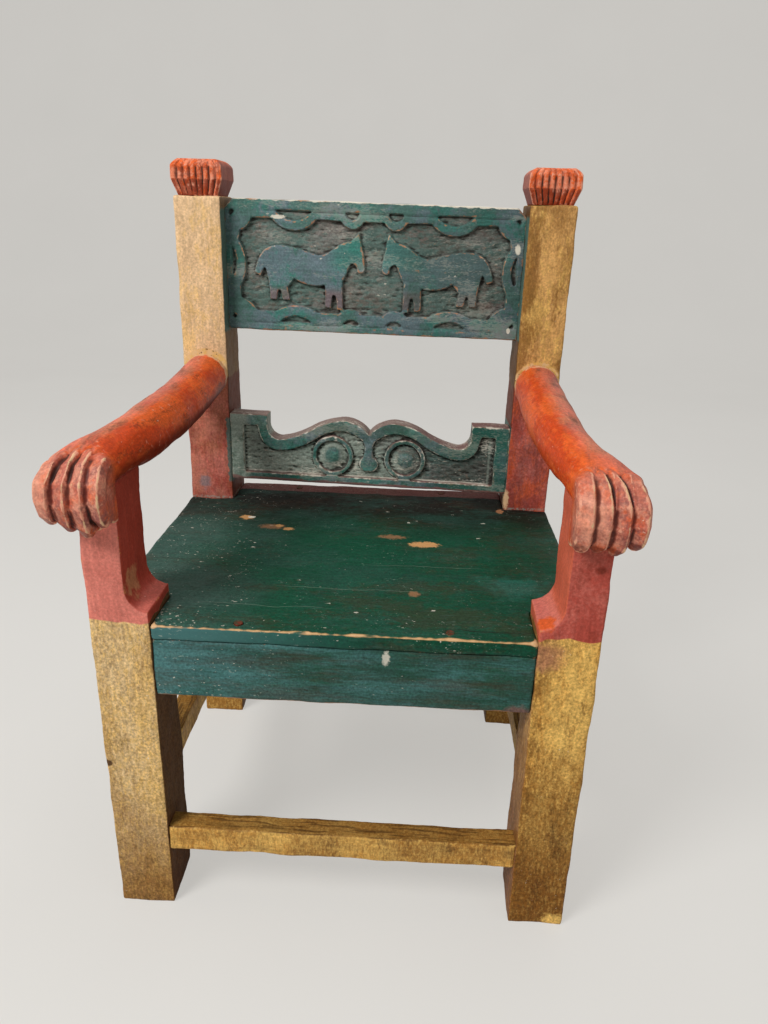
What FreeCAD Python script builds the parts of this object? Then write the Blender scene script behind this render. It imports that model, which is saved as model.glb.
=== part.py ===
"""A child's armchair of painted wood: four square posts, a notched plank seat on
tenoned rails, a box of stretchers, two carved back rails, finials on the back posts
and arms that end in paws hooked over the front posts.

Frame: +Z up from the floor, +X to the sitter's left (the viewer's right), the front
faces -Y, and the origin lies on the floor in the middle of the chair's plan.
"""
import FreeCAD, Part
import math
import os
import re

from FreeCAD import Placement, Rotation, Vector

# Driving dimensions in millimetres: name, value, meaning
SIZES = (
    ("chair_width", 424, "width over the posts"),
    ("frame_depth", 371, "front faces of the front posts to rear faces of the back posts"),
    ("seat_height", 305, "floor to seat"),
    ("back_rise", 337, "seat to the top of the back posts"),
    ("front_post_width", 51, "front post below the seat"),
    ("front_post_depth", 57, "front post, front to back"),
    ("back_post_width", 50, "back post, side to side"),
    ("back_post_depth", 60, "back post, front to back"),
    ("support_width", 33, "front post where it rises to the arm"),
    ("cove_lip", 12, "upright lip between the seat and the cove"),
    ("support_rise", 123, "seat to the shoulder that carries the arm"),
    ("post_tenon_radius", 10, "round tenon on top of the front post"),
    ("post_tenon_height", 20, "its height above the shoulder"),
    ("seat_thickness", 14, "seat plank"),
    ("seat_gap", 0.3, "room round the posts in the seat's notches"),
    ("seat_rail_height", 55, "apron and the other seat rails"),
    ("seat_rail_thickness", 22, "apron and the other seat rails"),
    ("rail_setback", 1, "seat rails and stretchers behind the post faces"),
    ("rail_tenon_length", 30, "tenons of seat rails and back rails"),
    ("rail_tenon_thickness", 10, "tenons of seat rails and back rails"),
    ("rail_shoulder", 7, "step above and below those tenons"),
    ("stretcher_height", 26, "stretchers"),
    ("stretcher_width", 21, "stretchers"),
    ("end_stretcher_level", 65, "floor to the underside of the front and rear stretchers"),
    ("side_stretcher_level", 114, "floor to the underside of the side stretchers"),
    ("side_stretcher_inset", 8, "side stretchers outside the inner faces of the posts"),
    ("stretcher_tenon_length", 25, "tenons of the stretchers"),
    ("stretcher_tenon_thickness", 11, "tenons of the stretchers"),
    ("stretcher_shoulder", 4, "step above and below those tenons"),
    ("crest_drop", 2, "top of the upper back rail below the top of the posts"),
    ("crest_height", 138, "upper back rail"),
    ("crest_thickness", 24, "upper back rail"),
    ("crest_setback", 17.5, "upper back rail behind the post faces"),
    ("crest_clip", 9, "clipped upper corners of the upper back rail"),
    ("crest_top_shoulder", 34, "step above its tenons, clear of the finials' tenons"),
    ("lower_rail_gap", 22, "between the seat and the lower back rail"),
    ("lower_rail_height", 79, "lower back rail at its ears"),
    ("lower_rail_thickness", 24, "lower back rail"),
    ("lower_rail_setback", 1, "lower back rail behind the post faces"),
    ("relief_depth", 4, "carved ground below the face of the back rails"),
    ("eye_depth", 3, "small hollows between the wavy band and the rim"),
    ("burro_length", 122, "carved burro, tail to nose"),
    ("burro_height", 82, "carved burro, hooves to ear"),
    ("burro_nose_gap", 19, "between the noses of the two burros"),
    ("burro_rise", 25, "underside of the upper back rail to the burros' hooves"),
    ("rosette_radius", 24, "rosette, outer edge of its ring"),
    ("rosette_ring", 5, "width of the ring"),
    ("rosette_button_radius", 17, "low cone inside the ring"),
    ("rosette_spacing", 85, "between the two rosettes' centres"),
    ("rosette_rise", 34, "underside of the lower back rail to the rosettes' centres"),
    ("arm_radius", 24.5, "arm where it meets the back post"),
    ("arm_back_rise", 25, "post's shoulder to the arm's middle at the back post"),
    ("arm_drop", 11, "fall of the arm's middle from back to front"),
    ("arm_tenon_width", 24, "tenon at the arm's rear end"),
    ("arm_tenon_height", 30, "tenon at the arm's rear end"),
    ("arm_tenon_length", 22, "tenon at the arm's rear end"),
    ("paw_swing", 4, "paw outside the middle of the front post's support"),
    ("toe_radius", 7.6, "thickness of a toe, as a radius"),
    ("toe_pitch", 13.3, "from toe to toe"),
    ("toe_curl_radius", 25.5, "curl of a toe's middle line"),
    ("palm_radius", 25, "palm under the toes"),
    ("palm_drop", 4, "palm's middle below the post's shoulder"),
    ("finial_height", 36, "finial above the post"),
    ("finial_neck_width", 42, "finial at its neck"),
    ("finial_neck_depth", 46, "finial at its neck"),
    ("finial_width", 55, "finial at its belt"),
    ("finial_depth", 56, "finial at its belt"),
    ("flute_depth", 2.4, "V-cut flutes on the finial's front and back"),
    ("finial_tenon_radius", 10, "round tenon under the finial"),
    ("finial_tenon_length", 24, "round tenon under the finial"),
    ("peg_radius", 4, "eight-sided wooden pegs, to their corners"),
    ("seat_peg_length", 40, "pegs that hold the seat to its rails"),
    ("seat_peg_spacing", 178, "between the two pegs along one rail"),
    ("peg_bite", 6, "how far a peg goes on past the tenon it locks"),
    ("fit_gap", 0.15, "room on each side of a tenon or peg"),
    ("end_gap", 2, "room beyond the end of a tenon or peg"),
    ("overrun", 5, "how far a cut starts outside the wood"),
)

# Places worked out from the sizes
PLACES = (
    ("outer_x", "chair_width / 2"),
    ("front_inner_x", "outer_x - front_post_width"),
    ("back_inner_x", "outer_x - back_post_width"),
    ("support_inner_x", "outer_x - support_width"),
    ("support_x", "outer_x - support_width / 2"),
    ("back_post_x", "outer_x - back_post_width / 2"),
    ("paw_x", "support_x + paw_swing"),
    ("front_y", "(toe_curl_radius + toe_radius - frame_depth) / 2"),
    ("front_post_rear_y", "front_y + front_post_depth"),
    ("support_y", "front_y + front_post_depth / 2"),
    ("rear_y", "front_y + frame_depth"),
    ("back_post_front_y", "rear_y - back_post_depth"),
    ("back_post_y", "rear_y - back_post_depth / 2"),
    ("arm_span", "back_post_front_y - front_y"),
    ("back_height", "seat_height + back_rise"),
    ("arm_seat_height", "seat_height + support_rise"),
    ("arm_back_level", "arm_seat_height + arm_back_rise"),
    ("palm_level", "arm_seat_height - palm_drop"),
    ("crest_level", "back_height - crest_drop - crest_height"),
    ("lower_rail_level", "seat_height + lower_rail_gap"),
    ("burro_level", "crest_level + burro_rise"),
    ("rosette_level", "lower_rail_level + rosette_rise"),
    ("seat_under", "seat_height - seat_thickness"),
    ("seat_rail_level", "seat_under - seat_rail_height"),
    ("front_rail_y", "front_y + rail_setback + seat_rail_thickness / 2"),
    ("rear_rail_y", "rear_y - rail_setback - seat_rail_thickness / 2"),
    ("cove_level", "seat_height + cove_lip"),
    ("cove_radius", "front_post_width - support_width"),
    ("crest_y", "back_post_front_y + crest_setback"),
    ("lower_rail_y", "back_post_front_y + lower_rail_setback"),
    ("tenon_peg_x", "back_inner_x + rail_tenon_length / 2"),
    ("arm_peg_y", "back_post_front_y + arm_tenon_length / 2"),
)

QUARTER_TURN = 90

# Arm from the back post to the paw, in shares of its span, of its sideways swing, of its
# drop, and of its radius at the back, across and upright
ARM_STATION_SHARES = (
    (0.00, 0.00, 0.00, 1.00, 1.00),
    (0.12, -0.03, 0.35, 1.00, 1.00),
    (0.34, -0.14, 0.70, 0.99, 0.99),
    (0.63, -0.25, 0.80, 0.93, 0.93),
    (0.85, 0.25, 0.85, 0.96, 0.94),
    (0.95, 0.75, 1.00, 1.10, 0.90),
    (1.03, 1.00, 1.75, 1.02, 0.66),
)
ARM_SIDES = 16
PEG_SIDES = 8

# Toes from the inner to the outer one: place across the paw in shares of the pitch, and
# how far behind the knuckles' top each starts and below the level each ends, in degrees
TOES = (
    (-1.5, 18, 60),
    (-0.5, 26, 69),
    (0.5, 28, 71),
    (1.5, 20, 62),
)
TOE_SIDES = 10

# A toe from behind the knuckles to its tip: shares of its curl and of its radius
TOE_SECTION_SHARES = (
    (0.00, 0.35),
    (0.06, 0.80),
    (0.17, 1.00),
    (0.34, 1.00),
    (0.50, 1.00),
    (0.66, 1.00),
    (0.82, 0.96),
    (0.94, 0.74),
    (1.00, 0.36),
)

# How far the palm reaches past the middles of the outer toes, both sides together, in
# the toes' radius
PALM_SHARE = 1.5

# Finial from neck to top: shares of its height, of the way from neck to belt
FINIAL_LEVEL_SHARES = (
    (0.00, 0.00),
    (0.46, 1.00),
    (0.82, 0.92),
    (0.95, 0.62),
    (1.00, 0.20),
)
FLUTE_COUNT = 8
FLUTE_MOUTH_SHARE = 0.30

# Right halves of the carved outlines, from the top middle to the bottom middle, in shares
# of the rail's half length and of its height: two points make a line, three an arc and
# more a smooth curve
WAVE_SHARES = (
    ((0.00, 0.857), (0.07, 0.857)),
    ((0.07, 0.857), (0.145, 0.800), (0.22, 0.857)),
    ((0.22, 0.857), (0.385, 0.860)),
    ((0.385, 0.860), (0.535, 0.775), (0.685, 0.860)),
    ((0.685, 0.860), (0.825, 0.860)),
    ((0.825, 0.860), (0.850, 0.800), (0.905, 0.765)),
    ((0.905, 0.765), (0.915, 0.690)),
    ((0.915, 0.690), (0.868, 0.530), (0.908, 0.350)),
    ((0.908, 0.350), (0.905, 0.250)),
    ((0.905, 0.250), (0.840, 0.215), (0.800, 0.155)),
    ((0.800, 0.155), (0.670, 0.155)),
    ((0.670, 0.155), (0.525, 0.205), (0.385, 0.155)),
    ((0.385, 0.155), (0.235, 0.150)),
    ((0.235, 0.150), (0.150, 0.190), (0.070, 0.150)),
    ((0.070, 0.150), (0.00, 0.150)),
)
# Hollows between the wavy band and the rim, on the right: a chord along the rim and the
# top of the bow that closes it
EYE_SHARES = (
    ((0.095, 0.922), (0.195, 0.922), (0.145, 0.866)),
    ((0.410, 0.925), (0.665, 0.925), (0.535, 0.848)),
    ((0.410, 0.062), (0.655, 0.062), (0.525, 0.122)),
    ((0.085, 0.062), (0.215, 0.062), (0.150, 0.108)),
    ((0.965, 0.400), (0.965, 0.660), (0.930, 0.530)),
)
# Small three-cornered hollows in the corners of the rim, on the right
CORNER_SHARES = (
    ((0.925, 0.915), (0.975, 0.915), (0.975, 0.855)),
    ((0.930, 0.090), (0.975, 0.090), (0.975, 0.140)),
)
# A burro that walks to the right, from the tail over the back, the ear and the legs, in
# shares of its length and height
BURRO_SHARES = (
    ((0.00, 0.45), (0.03, 0.60), (0.10, 0.75), (0.25, 0.81), (0.42, 0.77), (0.58, 0.70)),
    ((0.58, 0.70), (0.67, 0.74), (0.77, 0.84), (0.87, 0.88)),
    ((0.87, 0.88), (0.945, 1.00)),
    ((0.945, 1.00), (0.965, 0.86), (0.985, 0.72), (1.00, 0.54)),
    ((1.00, 0.54), (0.965, 0.49), (0.93, 0.52)),
    ((0.93, 0.52), (0.915, 0.60), (0.87, 0.61)),
    ((0.87, 0.61), (0.84, 0.50), (0.80, 0.38)),
    ((0.80, 0.38), (0.805, 0.00)),
    ((0.805, 0.00), (0.752, 0.00)),
    ((0.752, 0.00), (0.740, 0.19)),
    ((0.740, 0.19), (0.708, 0.19)),
    ((0.708, 0.19), (0.695, 0.02)),
    ((0.695, 0.02), (0.640, 0.03)),
    ((0.640, 0.03), (0.645, 0.33)),
    ((0.645, 0.33), (0.50, 0.31), (0.36, 0.40)),
    ((0.36, 0.40), (0.300, 0.28)),
    ((0.300, 0.28), (0.320, 0.11)),
    ((0.320, 0.11), (0.255, 0.11)),
    ((0.255, 0.11), (0.225, 0.33)),
    ((0.225, 0.33), (0.200, 0.11)),
    ((0.200, 0.11), (0.140, 0.11)),
    ((0.140, 0.11), (0.130, 0.33), (0.095, 0.54)),
    ((0.095, 0.54), (0.055, 0.41)),
    ((0.055, 0.41), (0.00, 0.45)),
)
# Scrolled top edge and end of the lower back rail
SCROLL_SHARES = (
    ((0.00, 0.785), (0.08, 0.920), (0.18, 0.980)),
    ((0.18, 0.980), (0.30, 0.930), (0.42, 0.810)),
    ((0.42, 0.810), (0.54, 0.695), (0.645, 0.640)),
    ((0.645, 0.640), (0.70, 0.685), (0.733, 0.820)),
    ((0.733, 0.820), (0.733, 1.00)),
    ((0.733, 1.00), (1.00, 1.00)),
    ((1.00, 1.00), (1.00, 0.00)),
    ((1.00, 0.00), (0.00, 0.00)),
)
# Its sunk ground inside the raised rim
PANEL_SHARES = (
    ((0.00, 0.590), (0.07, 0.730), (0.17, 0.815)),
    ((0.17, 0.815), (0.28, 0.790), (0.39, 0.670)),
    ((0.39, 0.670), (0.52, 0.530), (0.645, 0.475)),
    ((0.645, 0.475), (0.735, 0.530), (0.785, 0.660)),
    ((0.785, 0.660), (0.805, 0.840)),
    ((0.805, 0.840), (0.905, 0.840)),
    ((0.905, 0.840), (0.905, 0.115)),
    ((0.905, 0.115), (0.00, 0.115)),
)
# Flat top of a rosette's cone, in its radius
BUTTON_TOP_SHARE = 0.15
# The spade that hangs from the cusp between the two scrolls
SPADE_SHARES = (
    ((0.00, 0.700), (0.045, 0.700)),
    ((0.045, 0.700), (0.026, 0.560), (0.036, 0.440)),
    ((0.036, 0.440), (0.066, 0.370), (0.00, 0.225)),
)


def refer(text, names, sheet):
    """The expression with each of the names read from the named sheet."""
    def named(word):
        return f"{sheet}.{word[0]}" if word[0] in names else word[0]

    return re.sub(r"[a-z_]+", named, text)


class Chair:
    """The document, its two sheets and the short-hands that bind objects to them."""

    def __init__(self):
        self.doc = FreeCAD.newDocument("ChildChair")
        self.sizes = self.doc.addObject("Spreadsheet::Sheet", "Sizes")
        self.places = self.doc.addObject("Spreadsheet::Sheet", "Places")
        self.size_names = {name for name, value, meaning in SIZES}
        self.place_names = {name for name, formula in PLACES}
        for row, (name, value, meaning) in enumerate(SIZES, start=1):
            self.write(self.sizes, row, name, str(value), meaning)
        for row, (name, formula) in enumerate(PLACES, start=1):
            content = "=" + refer(formula, self.size_names, "Sizes")
            self.write(self.places, row, name, content, formula)
        self.doc.recompute()

    def write(self, sheet, row, name, content, note):
        sheet.set(f"A{row}", content)
        sheet.setAlias(f"A{row}", name)
        sheet.set(f"B{row}", note)

    def read(self, name):
        """A size or place as a plain number."""
        sheet = self.sizes if name in self.size_names else self.places
        return float(getattr(sheet, name))

    def bind(self, thing, prop, text):
        """Tie one property of an object to an expression in sizes and places."""
        text = refer(text, self.size_names, "Sizes")
        thing.setExpression(prop, refer(text, self.place_names, "Places"))

    def add(self, kind, name):
        return self.doc.addObject(kind, name)

    def put(self, thing, x, y, z):
        for axis, place in zip("xyz", (x, y, z)):
            self.bind(thing, f"Placement.Base.{axis}", place)
        return thing

    def block(self, name, x, y, z):
        """A box between a low and a high place along each axis."""
        box = self.add("Part::Box", name)
        for side, (low, high) in zip(("Length", "Width", "Height"), (x, y, z)):
            self.bind(box, side, f"({high}) - ({low})")
        return self.put(box, x[0], y[0], z[0])

    def bar(self, name, radius, length, start, turn=Rotation()):
        """A round bar from its start, upright unless it is turned."""
        bar = self.add("Part::Cylinder", name)
        bar.Placement = Placement(Vector(), turn)
        self.bind(bar, "Radius", radius)
        self.bind(bar, "Height", length)
        return self.put(bar, *start)

    def stick(self, name, radius, length, start, turn=Rotation()):
        """A whittled stick of even facets from its start, upright unless it is turned."""
        stick = self.add("Part::Prism", name)
        stick.Polygon = PEG_SIDES
        stick.Placement = Placement(Vector(), turn)
        self.bind(stick, "Circumradius", radius)
        self.bind(stick, "Height", length)
        return self.put(stick, *start)

    def fuse(self, name, pieces):
        joined = self.add("Part::MultiFuse", name)
        joined.Shapes = pieces
        joined.Refine = True
        return joined

    def cut(self, name, stock, waste):
        trimmed = self.add("Part::Cut", name)
        trimmed.Base = stock
        trimmed.Tool = waste[0] if len(waste) == 1 else self.fuse(name + "_waste", waste)
        return trimmed

    def group(self, name, pieces):
        gathered = self.add("Part::Compound", name)
        gathered.Links = pieces
        return gathered

    def mirrored(self, name, source):
        """The same piece on the other side of the chair."""
        twin = self.add("Part::Mirroring", name)
        twin.Source = source
        twin.Normal = Vector(1, 0, 0)
        return twin

    def carved(self, name, shape):
        """A form that no ready-made object gives, as it is."""
        feature = self.add("Part::Feature", name)
        feature.Shape = shape
        feature.Placement = Placement()
        return feature


# Spans are pairs of expressions, a low and a high place along one axis

def span(low, length):
    return (low, f"{low} + {length}")


def centred(middle, length):
    return (f"{middle} - {length} / 2", f"{middle} + {length} / 2")


def inset(limits, step):
    return (f"{limits[0]} + {step}", f"{limits[1]} - {step}")


def eased(limits, gap="fit_gap"):
    return (f"{limits[0]} - {gap}", f"{limits[1]} + {gap}")


def both_sides(chair, piece):
    """A piece on the right and its twin on the left."""
    return [piece, chair.mirrored(piece.Name + "_twin", piece)]


class CrossRail:
    """A rail along X between two posts, with a tenon at each end."""

    def __init__(self, inner_x, y, z, tenon_length, tenon_y, tenon_z):
        self.inner_x, self.y, self.z = inner_x, y, z
        self.tenon_length, self.tenon_y, self.tenon_z = tenon_length, tenon_y, tenon_z

    def tenons(self, chair, name):
        """Both tenons, rooted a little way inside the ends of the rail."""
        x = (f"{self.inner_x} - overrun", f"{self.inner_x} + {self.tenon_length}")
        return both_sides(chair, chair.block(name + "_tenon", x, self.tenon_y, self.tenon_z))

    def solid(self, chair, name):
        plank = chair.block(name + "_plank", (f"-{self.inner_x}", self.inner_x), self.y, self.z)
        return chair.fuse(name, [plank] + self.tenons(chair, name))

    def mortise(self, chair, name):
        """The hole for the right-hand tenon, in the inner face of its post."""
        x = (f"{self.inner_x} - overrun", f"{self.inner_x} + {self.tenon_length} + end_gap")
        return chair.block(name, x, eased(self.tenon_y), eased(self.tenon_z))


class SideRail:
    """A rail along Y from a front post to a back post, with a tenon at each end."""

    def __init__(self, x, z, tenon_length, tenon_x, tenon_z):
        self.x, self.z = x, z
        self.tenon_length, self.tenon_x, self.tenon_z = tenon_length, tenon_x, tenon_z

    def solid(self, chair, name):
        plank = chair.block(name + "_plank", self.x, ("front_post_rear_y", "back_post_front_y"), self.z)
        y = (f"front_post_rear_y - {self.tenon_length}", f"back_post_front_y + {self.tenon_length}")
        return chair.fuse(name, [plank, chair.block(name + "_tenons", self.tenon_x, y, self.tenon_z)])

    def front_mortise(self, chair, name):
        y = (f"front_post_rear_y - {self.tenon_length} - end_gap", "front_post_rear_y + overrun")
        return chair.block(name, eased(self.tenon_x), y, eased(self.tenon_z))

    def back_mortise(self, chair, name):
        y = ("back_post_front_y - overrun", f"back_post_front_y + {self.tenon_length} + end_gap")
        return chair.block(name, eased(self.tenon_x), y, eased(self.tenon_z))


def seat_cross_rail(inner_x, middle_y):
    z = span("seat_rail_level", "seat_rail_height")
    return CrossRail(inner_x, centred(middle_y, "seat_rail_thickness"), z, "rail_tenon_length",
                     centred(middle_y, "rail_tenon_thickness"), inset(z, "rail_shoulder"))


def end_stretcher(inner_x, middle_y):
    z = span("end_stretcher_level", "stretcher_height")
    return CrossRail(inner_x, centred(middle_y, "stretcher_width"), z, "stretcher_tenon_length",
                     centred(middle_y, "stretcher_tenon_thickness"), inset(z, "stretcher_shoulder"))


def back_rail(face_y, thickness, level, top):
    y = span(face_y, thickness)
    return CrossRail("back_inner_x", y, (level, top), "rail_tenon_length",
                     centred(f"{face_y} + {thickness} / 2", "rail_tenon_thickness"),
                     (f"{level} + rail_shoulder", f"{top} - rail_shoulder"))


FRONT_SEAT_RAIL = seat_cross_rail("front_inner_x", "front_rail_y")
REAR_SEAT_RAIL = seat_cross_rail("back_inner_x", "rear_rail_y")
FRONT_STRETCHER = end_stretcher("front_inner_x", "front_y + rail_setback + stretcher_width / 2")
REAR_STRETCHER = end_stretcher("back_inner_x", "rear_y - rail_setback - stretcher_width / 2")
UPPER_BACK_RAIL = back_rail("crest_y", "crest_thickness", "crest_level",
                            "crest_level + crest_height + rail_shoulder - crest_top_shoulder")
LOWER_BACK_RAIL = back_rail("lower_rail_y", "lower_rail_thickness", "lower_rail_level",
                            "lower_rail_level + lower_rail_height")
SIDE_RAIL_X = "outer_x - rail_setback - seat_rail_thickness / 2"
SIDE_SEAT_RAIL = SideRail(centred(SIDE_RAIL_X, "seat_rail_thickness"), FRONT_SEAT_RAIL.z,
                          "rail_tenon_length", centred(SIDE_RAIL_X, "rail_tenon_thickness"),
                          FRONT_SEAT_RAIL.tenon_z)
SIDE_STRETCHER_X = "front_inner_x + side_stretcher_inset + stretcher_width / 2"
SIDE_STRETCHER_Z = span("side_stretcher_level", "stretcher_height")
SIDE_STRETCHER = SideRail(centred(SIDE_STRETCHER_X, "stretcher_width"), SIDE_STRETCHER_Z,
                          "stretcher_tenon_length",
                          centred(SIDE_STRETCHER_X, "stretcher_tenon_thickness"),
                          inset(SIDE_STRETCHER_Z, "stretcher_shoulder"))
ARM_TENON_X = centred("back_post_x", "arm_tenon_width")
ARM_TENON_Z = centred("arm_back_level", "arm_tenon_height")
ALONG_Y = Rotation(Vector(1, 0, 0), QUARTER_TURN)
ALONG_X = Rotation(Vector(0, 1, 0), -QUARTER_TURN)


def tenon_peg(chair, name, radius, spare, face_y, thickness, level):
    """A peg from the rear face of the right back post through a back rail's tenon."""
    depth = f"rear_y - {face_y} - {thickness} / 2 + rail_tenon_thickness / 2 + peg_bite + {spare}"
    return chair.stick(name, radius, depth, ("tenon_peg_x", "rear_y", level), ALONG_Y)


def upper_peg(chair, name, radius="peg_radius", spare="0"):
    return tenon_peg(chair, name, radius, spare, "crest_y", "crest_thickness",
                     "crest_level + (crest_height - crest_top_shoulder) / 2")


def lower_peg(chair, name, radius="peg_radius", spare="0"):
    return tenon_peg(chair, name, radius, spare, "lower_rail_y", "lower_rail_thickness",
                     "lower_rail_level + lower_rail_height / 2")


def arm_peg(chair, name, radius="peg_radius", spare="0"):
    """A peg from the outer face of the right back post through the arm's tenon."""
    depth = f"back_post_width / 2 + arm_tenon_width / 2 + peg_bite + {spare}"
    return chair.stick(name, radius, depth, ("outer_x", "arm_peg_y", "arm_back_level"), ALONG_X)


def seat_peg(chair, name, middle_y, radius="peg_radius", spare="0"):
    """An upright peg through the seat into the rail under it, on the right."""
    depth = f"seat_peg_length + {spare}"
    foot = ("seat_peg_spacing / 2", middle_y, f"seat_height - ({depth})")
    return chair.stick(name, radius, depth, foot)


HOLE = {"radius": "peg_radius + fit_gap", "spare": "end_gap"}


def front_post(chair):
    """Square leg, a cove that narrows it to the arm's support, and a round tenon on top."""
    y = ("front_y", "front_post_rear_y")
    leg = chair.block("front_leg", ("front_inner_x", "outer_x"), y, ("0", "cove_level"))
    support = chair.block("front_support", ("support_inner_x", "outer_x"), y,
                          ("cove_level", "arm_seat_height"))
    corner = chair.block("cove_corner", ("front_inner_x", "support_inner_x"), y,
                         span("cove_level", "cove_radius"))
    hollow_rear = ("front_inner_x", "front_post_rear_y + overrun", "cove_level + cove_radius")
    hollow = chair.bar("cove_hollow", "cove_radius", "front_post_depth + 2 * overrun", hollow_rear,
                       ALONG_Y)
    tenon = chair.bar("front_post_tenon", "post_tenon_radius", "post_tenon_height",
                      ("support_x", "support_y", "arm_seat_height"))
    stock = chair.fuse("front_post_stock", [leg, support, chair.cut("cove", corner, [hollow]), tenon])
    return chair.cut("front_post_right", stock, [
        FRONT_SEAT_RAIL.mortise(chair, "front_rail_mortise"),
        FRONT_STRETCHER.mortise(chair, "front_stretcher_mortise"),
        SIDE_SEAT_RAIL.front_mortise(chair, "side_rail_front_mortise"),
        SIDE_STRETCHER.front_mortise(chair, "side_stretcher_front_mortise"),
    ])


def back_post(chair):
    """Square post with mortises for rails, stretchers and the arm, and bores for pegs."""
    stock = chair.block("back_post_stock", ("back_inner_x", "outer_x"),
                        ("back_post_front_y", "rear_y"), ("0", "back_height"))
    arm_hole_y = ("back_post_front_y - overrun", "back_post_front_y + arm_tenon_length + end_gap")
    finial_hole = "finial_tenon_length + end_gap"
    return chair.cut("back_post_right", stock, [
        REAR_SEAT_RAIL.mortise(chair, "rear_rail_mortise"),
        REAR_STRETCHER.mortise(chair, "rear_stretcher_mortise"),
        UPPER_BACK_RAIL.mortise(chair, "upper_rail_mortise"),
        LOWER_BACK_RAIL.mortise(chair, "lower_rail_mortise"),
        SIDE_SEAT_RAIL.back_mortise(chair, "side_rail_back_mortise"),
        SIDE_STRETCHER.back_mortise(chair, "side_stretcher_back_mortise"),
        chair.block("arm_mortise", eased(ARM_TENON_X), arm_hole_y, eased(ARM_TENON_Z)),
        chair.bar("finial_bore", "finial_tenon_radius + fit_gap", finial_hole,
                  ("back_post_x", "back_post_y", f"back_height - ({finial_hole})")),
        upper_peg(chair, "upper_peg_bore", **HOLE),
        lower_peg(chair, "lower_peg_bore", **HOLE),
        arm_peg(chair, "arm_peg_bore", **HOLE),
    ])


def hoop(middle, across, up, sides):
    """A many-sided ring about its middle, given its half width and half height as vectors."""
    turns = [math.tau * number / sides for number in range(sides)]
    points = [middle + across * math.cos(turn) + up * math.sin(turn) for turn in turns]
    return Part.makePolygon(points + points[:1])


def limb(chair):
    """The arm without its paw: it drops, swings out and flares into the hand."""
    rear = Vector(chair.read("back_post_x"), chair.read("back_post_front_y"), chair.read("arm_back_level"))
    swing, radius = chair.read("paw_x") - rear.x, chair.read("arm_radius")
    hoops = []
    for along, sideways, fall, wide, tall in ARM_STATION_SHARES:
        shift = Vector(sideways * swing, -along * chair.read("arm_span"), -fall * chair.read("arm_drop"))
        across, up = Vector(wide * radius, 0, 0), Vector(0, 0, tall * radius)
        hoops.append(hoop(rear + shift, across, up, ARM_SIDES))
    return chair.carved("arm_limb", Part.makeLoft(hoops, True))


def toe(chair, name, across, start, end):
    """A ridged toe that curls over the knuckles and down to a blunt tip."""
    root = Vector(chair.read("paw_x") + across * chair.read("toe_pitch"), chair.read("front_y"),
                  chair.read("palm_level"))
    hoops = []
    for along, girth in TOE_SECTION_SHARES:
        turn = math.radians(along * (start + QUARTER_TURN + end) - start)
        out = Vector(0, -math.sin(turn), math.cos(turn))
        thick = girth * chair.read("toe_radius")
        hoops.append(hoop(root + out * chair.read("toe_curl_radius"), Vector(thick, 0, 0), out * thick,
                          TOE_SIDES))
    return chair.carved(name, Part.makeLoft(hoops, True, True))


def arm(chair):
    """Round arm with a tenon at its rear and a paw hooked over the front post."""
    palm_width = f"({TOES[-1][0] - TOES[0][0]} * toe_pitch + {PALM_SHARE} * toe_radius)"
    palm_start = (f"paw_x + {palm_width} / 2", "front_y", "palm_level")
    palm = chair.bar("arm_palm", "palm_radius", palm_width, palm_start, ALONG_X)
    tenon_y = ("back_post_front_y - overrun", "back_post_front_y + arm_tenon_length")
    tenon = chair.block("arm_tenon", ARM_TENON_X, tenon_y, ARM_TENON_Z)
    toes = [toe(chair, f"toe_{number}", *shape) for number, shape in enumerate(TOES)]
    stock = chair.fuse("arm_stock", [limb(chair), palm, tenon] + toes)
    return chair.cut("arm_right", stock, [
        chair.block("arm_notch", centred("support_x", "2 * front_post_width"),
                    ("front_y", "front_post_rear_y"), ("cove_level", "arm_seat_height")),
        chair.bar("post_tenon_bore", "post_tenon_radius + fit_gap", "post_tenon_height + end_gap",
                  ("support_x", "support_y", "arm_seat_height")),
        arm_peg(chair, "arm_tenon_bore", **HOLE),
    ])


def fluted_outline(width, depth, cut):
    """Corners of a finial's section about its middle, with flutes along its front and back."""
    pitch = width / FLUTE_COUNT
    mouth = pitch * FLUTE_MOUTH_SHARE
    front = [Vector(-width / 2, -depth / 2, 0)]
    for flute in range(1, FLUTE_COUNT):
        x = flute * pitch - width / 2
        front += [Vector(x - mouth, -depth / 2, 0), Vector(x, cut - depth / 2, 0),
                  Vector(x + mouth, -depth / 2, 0)]
    front.append(Vector(width / 2, -depth / 2, 0))
    return front + [-corner for corner in front]


def flat_face(corners):
    return Part.Face(Part.makePolygon(corners + corners[:1]))


def finial(chair):
    """Flaring block with V-cut flutes on its front and back, on a round tenon."""
    foot = Vector(chair.read("back_post_x"), chair.read("back_post_y"), chair.read("back_height"))
    neck_width, neck_depth = chair.read("finial_neck_width"), chair.read("finial_neck_depth")
    outlines = []
    for rise, spread in FINIAL_LEVEL_SHARES:
        width = neck_width + spread * (chair.read("finial_width") - neck_width)
        depth = neck_depth + spread * (chair.read("finial_depth") - neck_depth)
        cut = chair.read("flute_depth") * width / chair.read("finial_width")
        middle = foot + Vector(0, 0, rise * chair.read("finial_height"))
        outlines.append([middle + corner for corner in fluted_outline(width, depth, cut)])
    faces = [flat_face(outlines[0]), flat_face(outlines[-1])]
    for low, high in zip(outlines, outlines[1:]):
        for here, there in zip(range(-1, len(low)), range(len(low))):
            faces.append(flat_face([low[here], low[there], high[there], high[here]]))
    block = chair.carved("finial_block", Part.Solid(Part.makeShell(faces)))
    tenon = chair.bar("finial_tenon", "finial_tenon_radius", "finial_tenon_length",
                      ("back_post_x", "back_post_y", "back_height - finial_tenon_length"))
    return chair.fuse("finial_right", [block, tenon])


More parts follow.
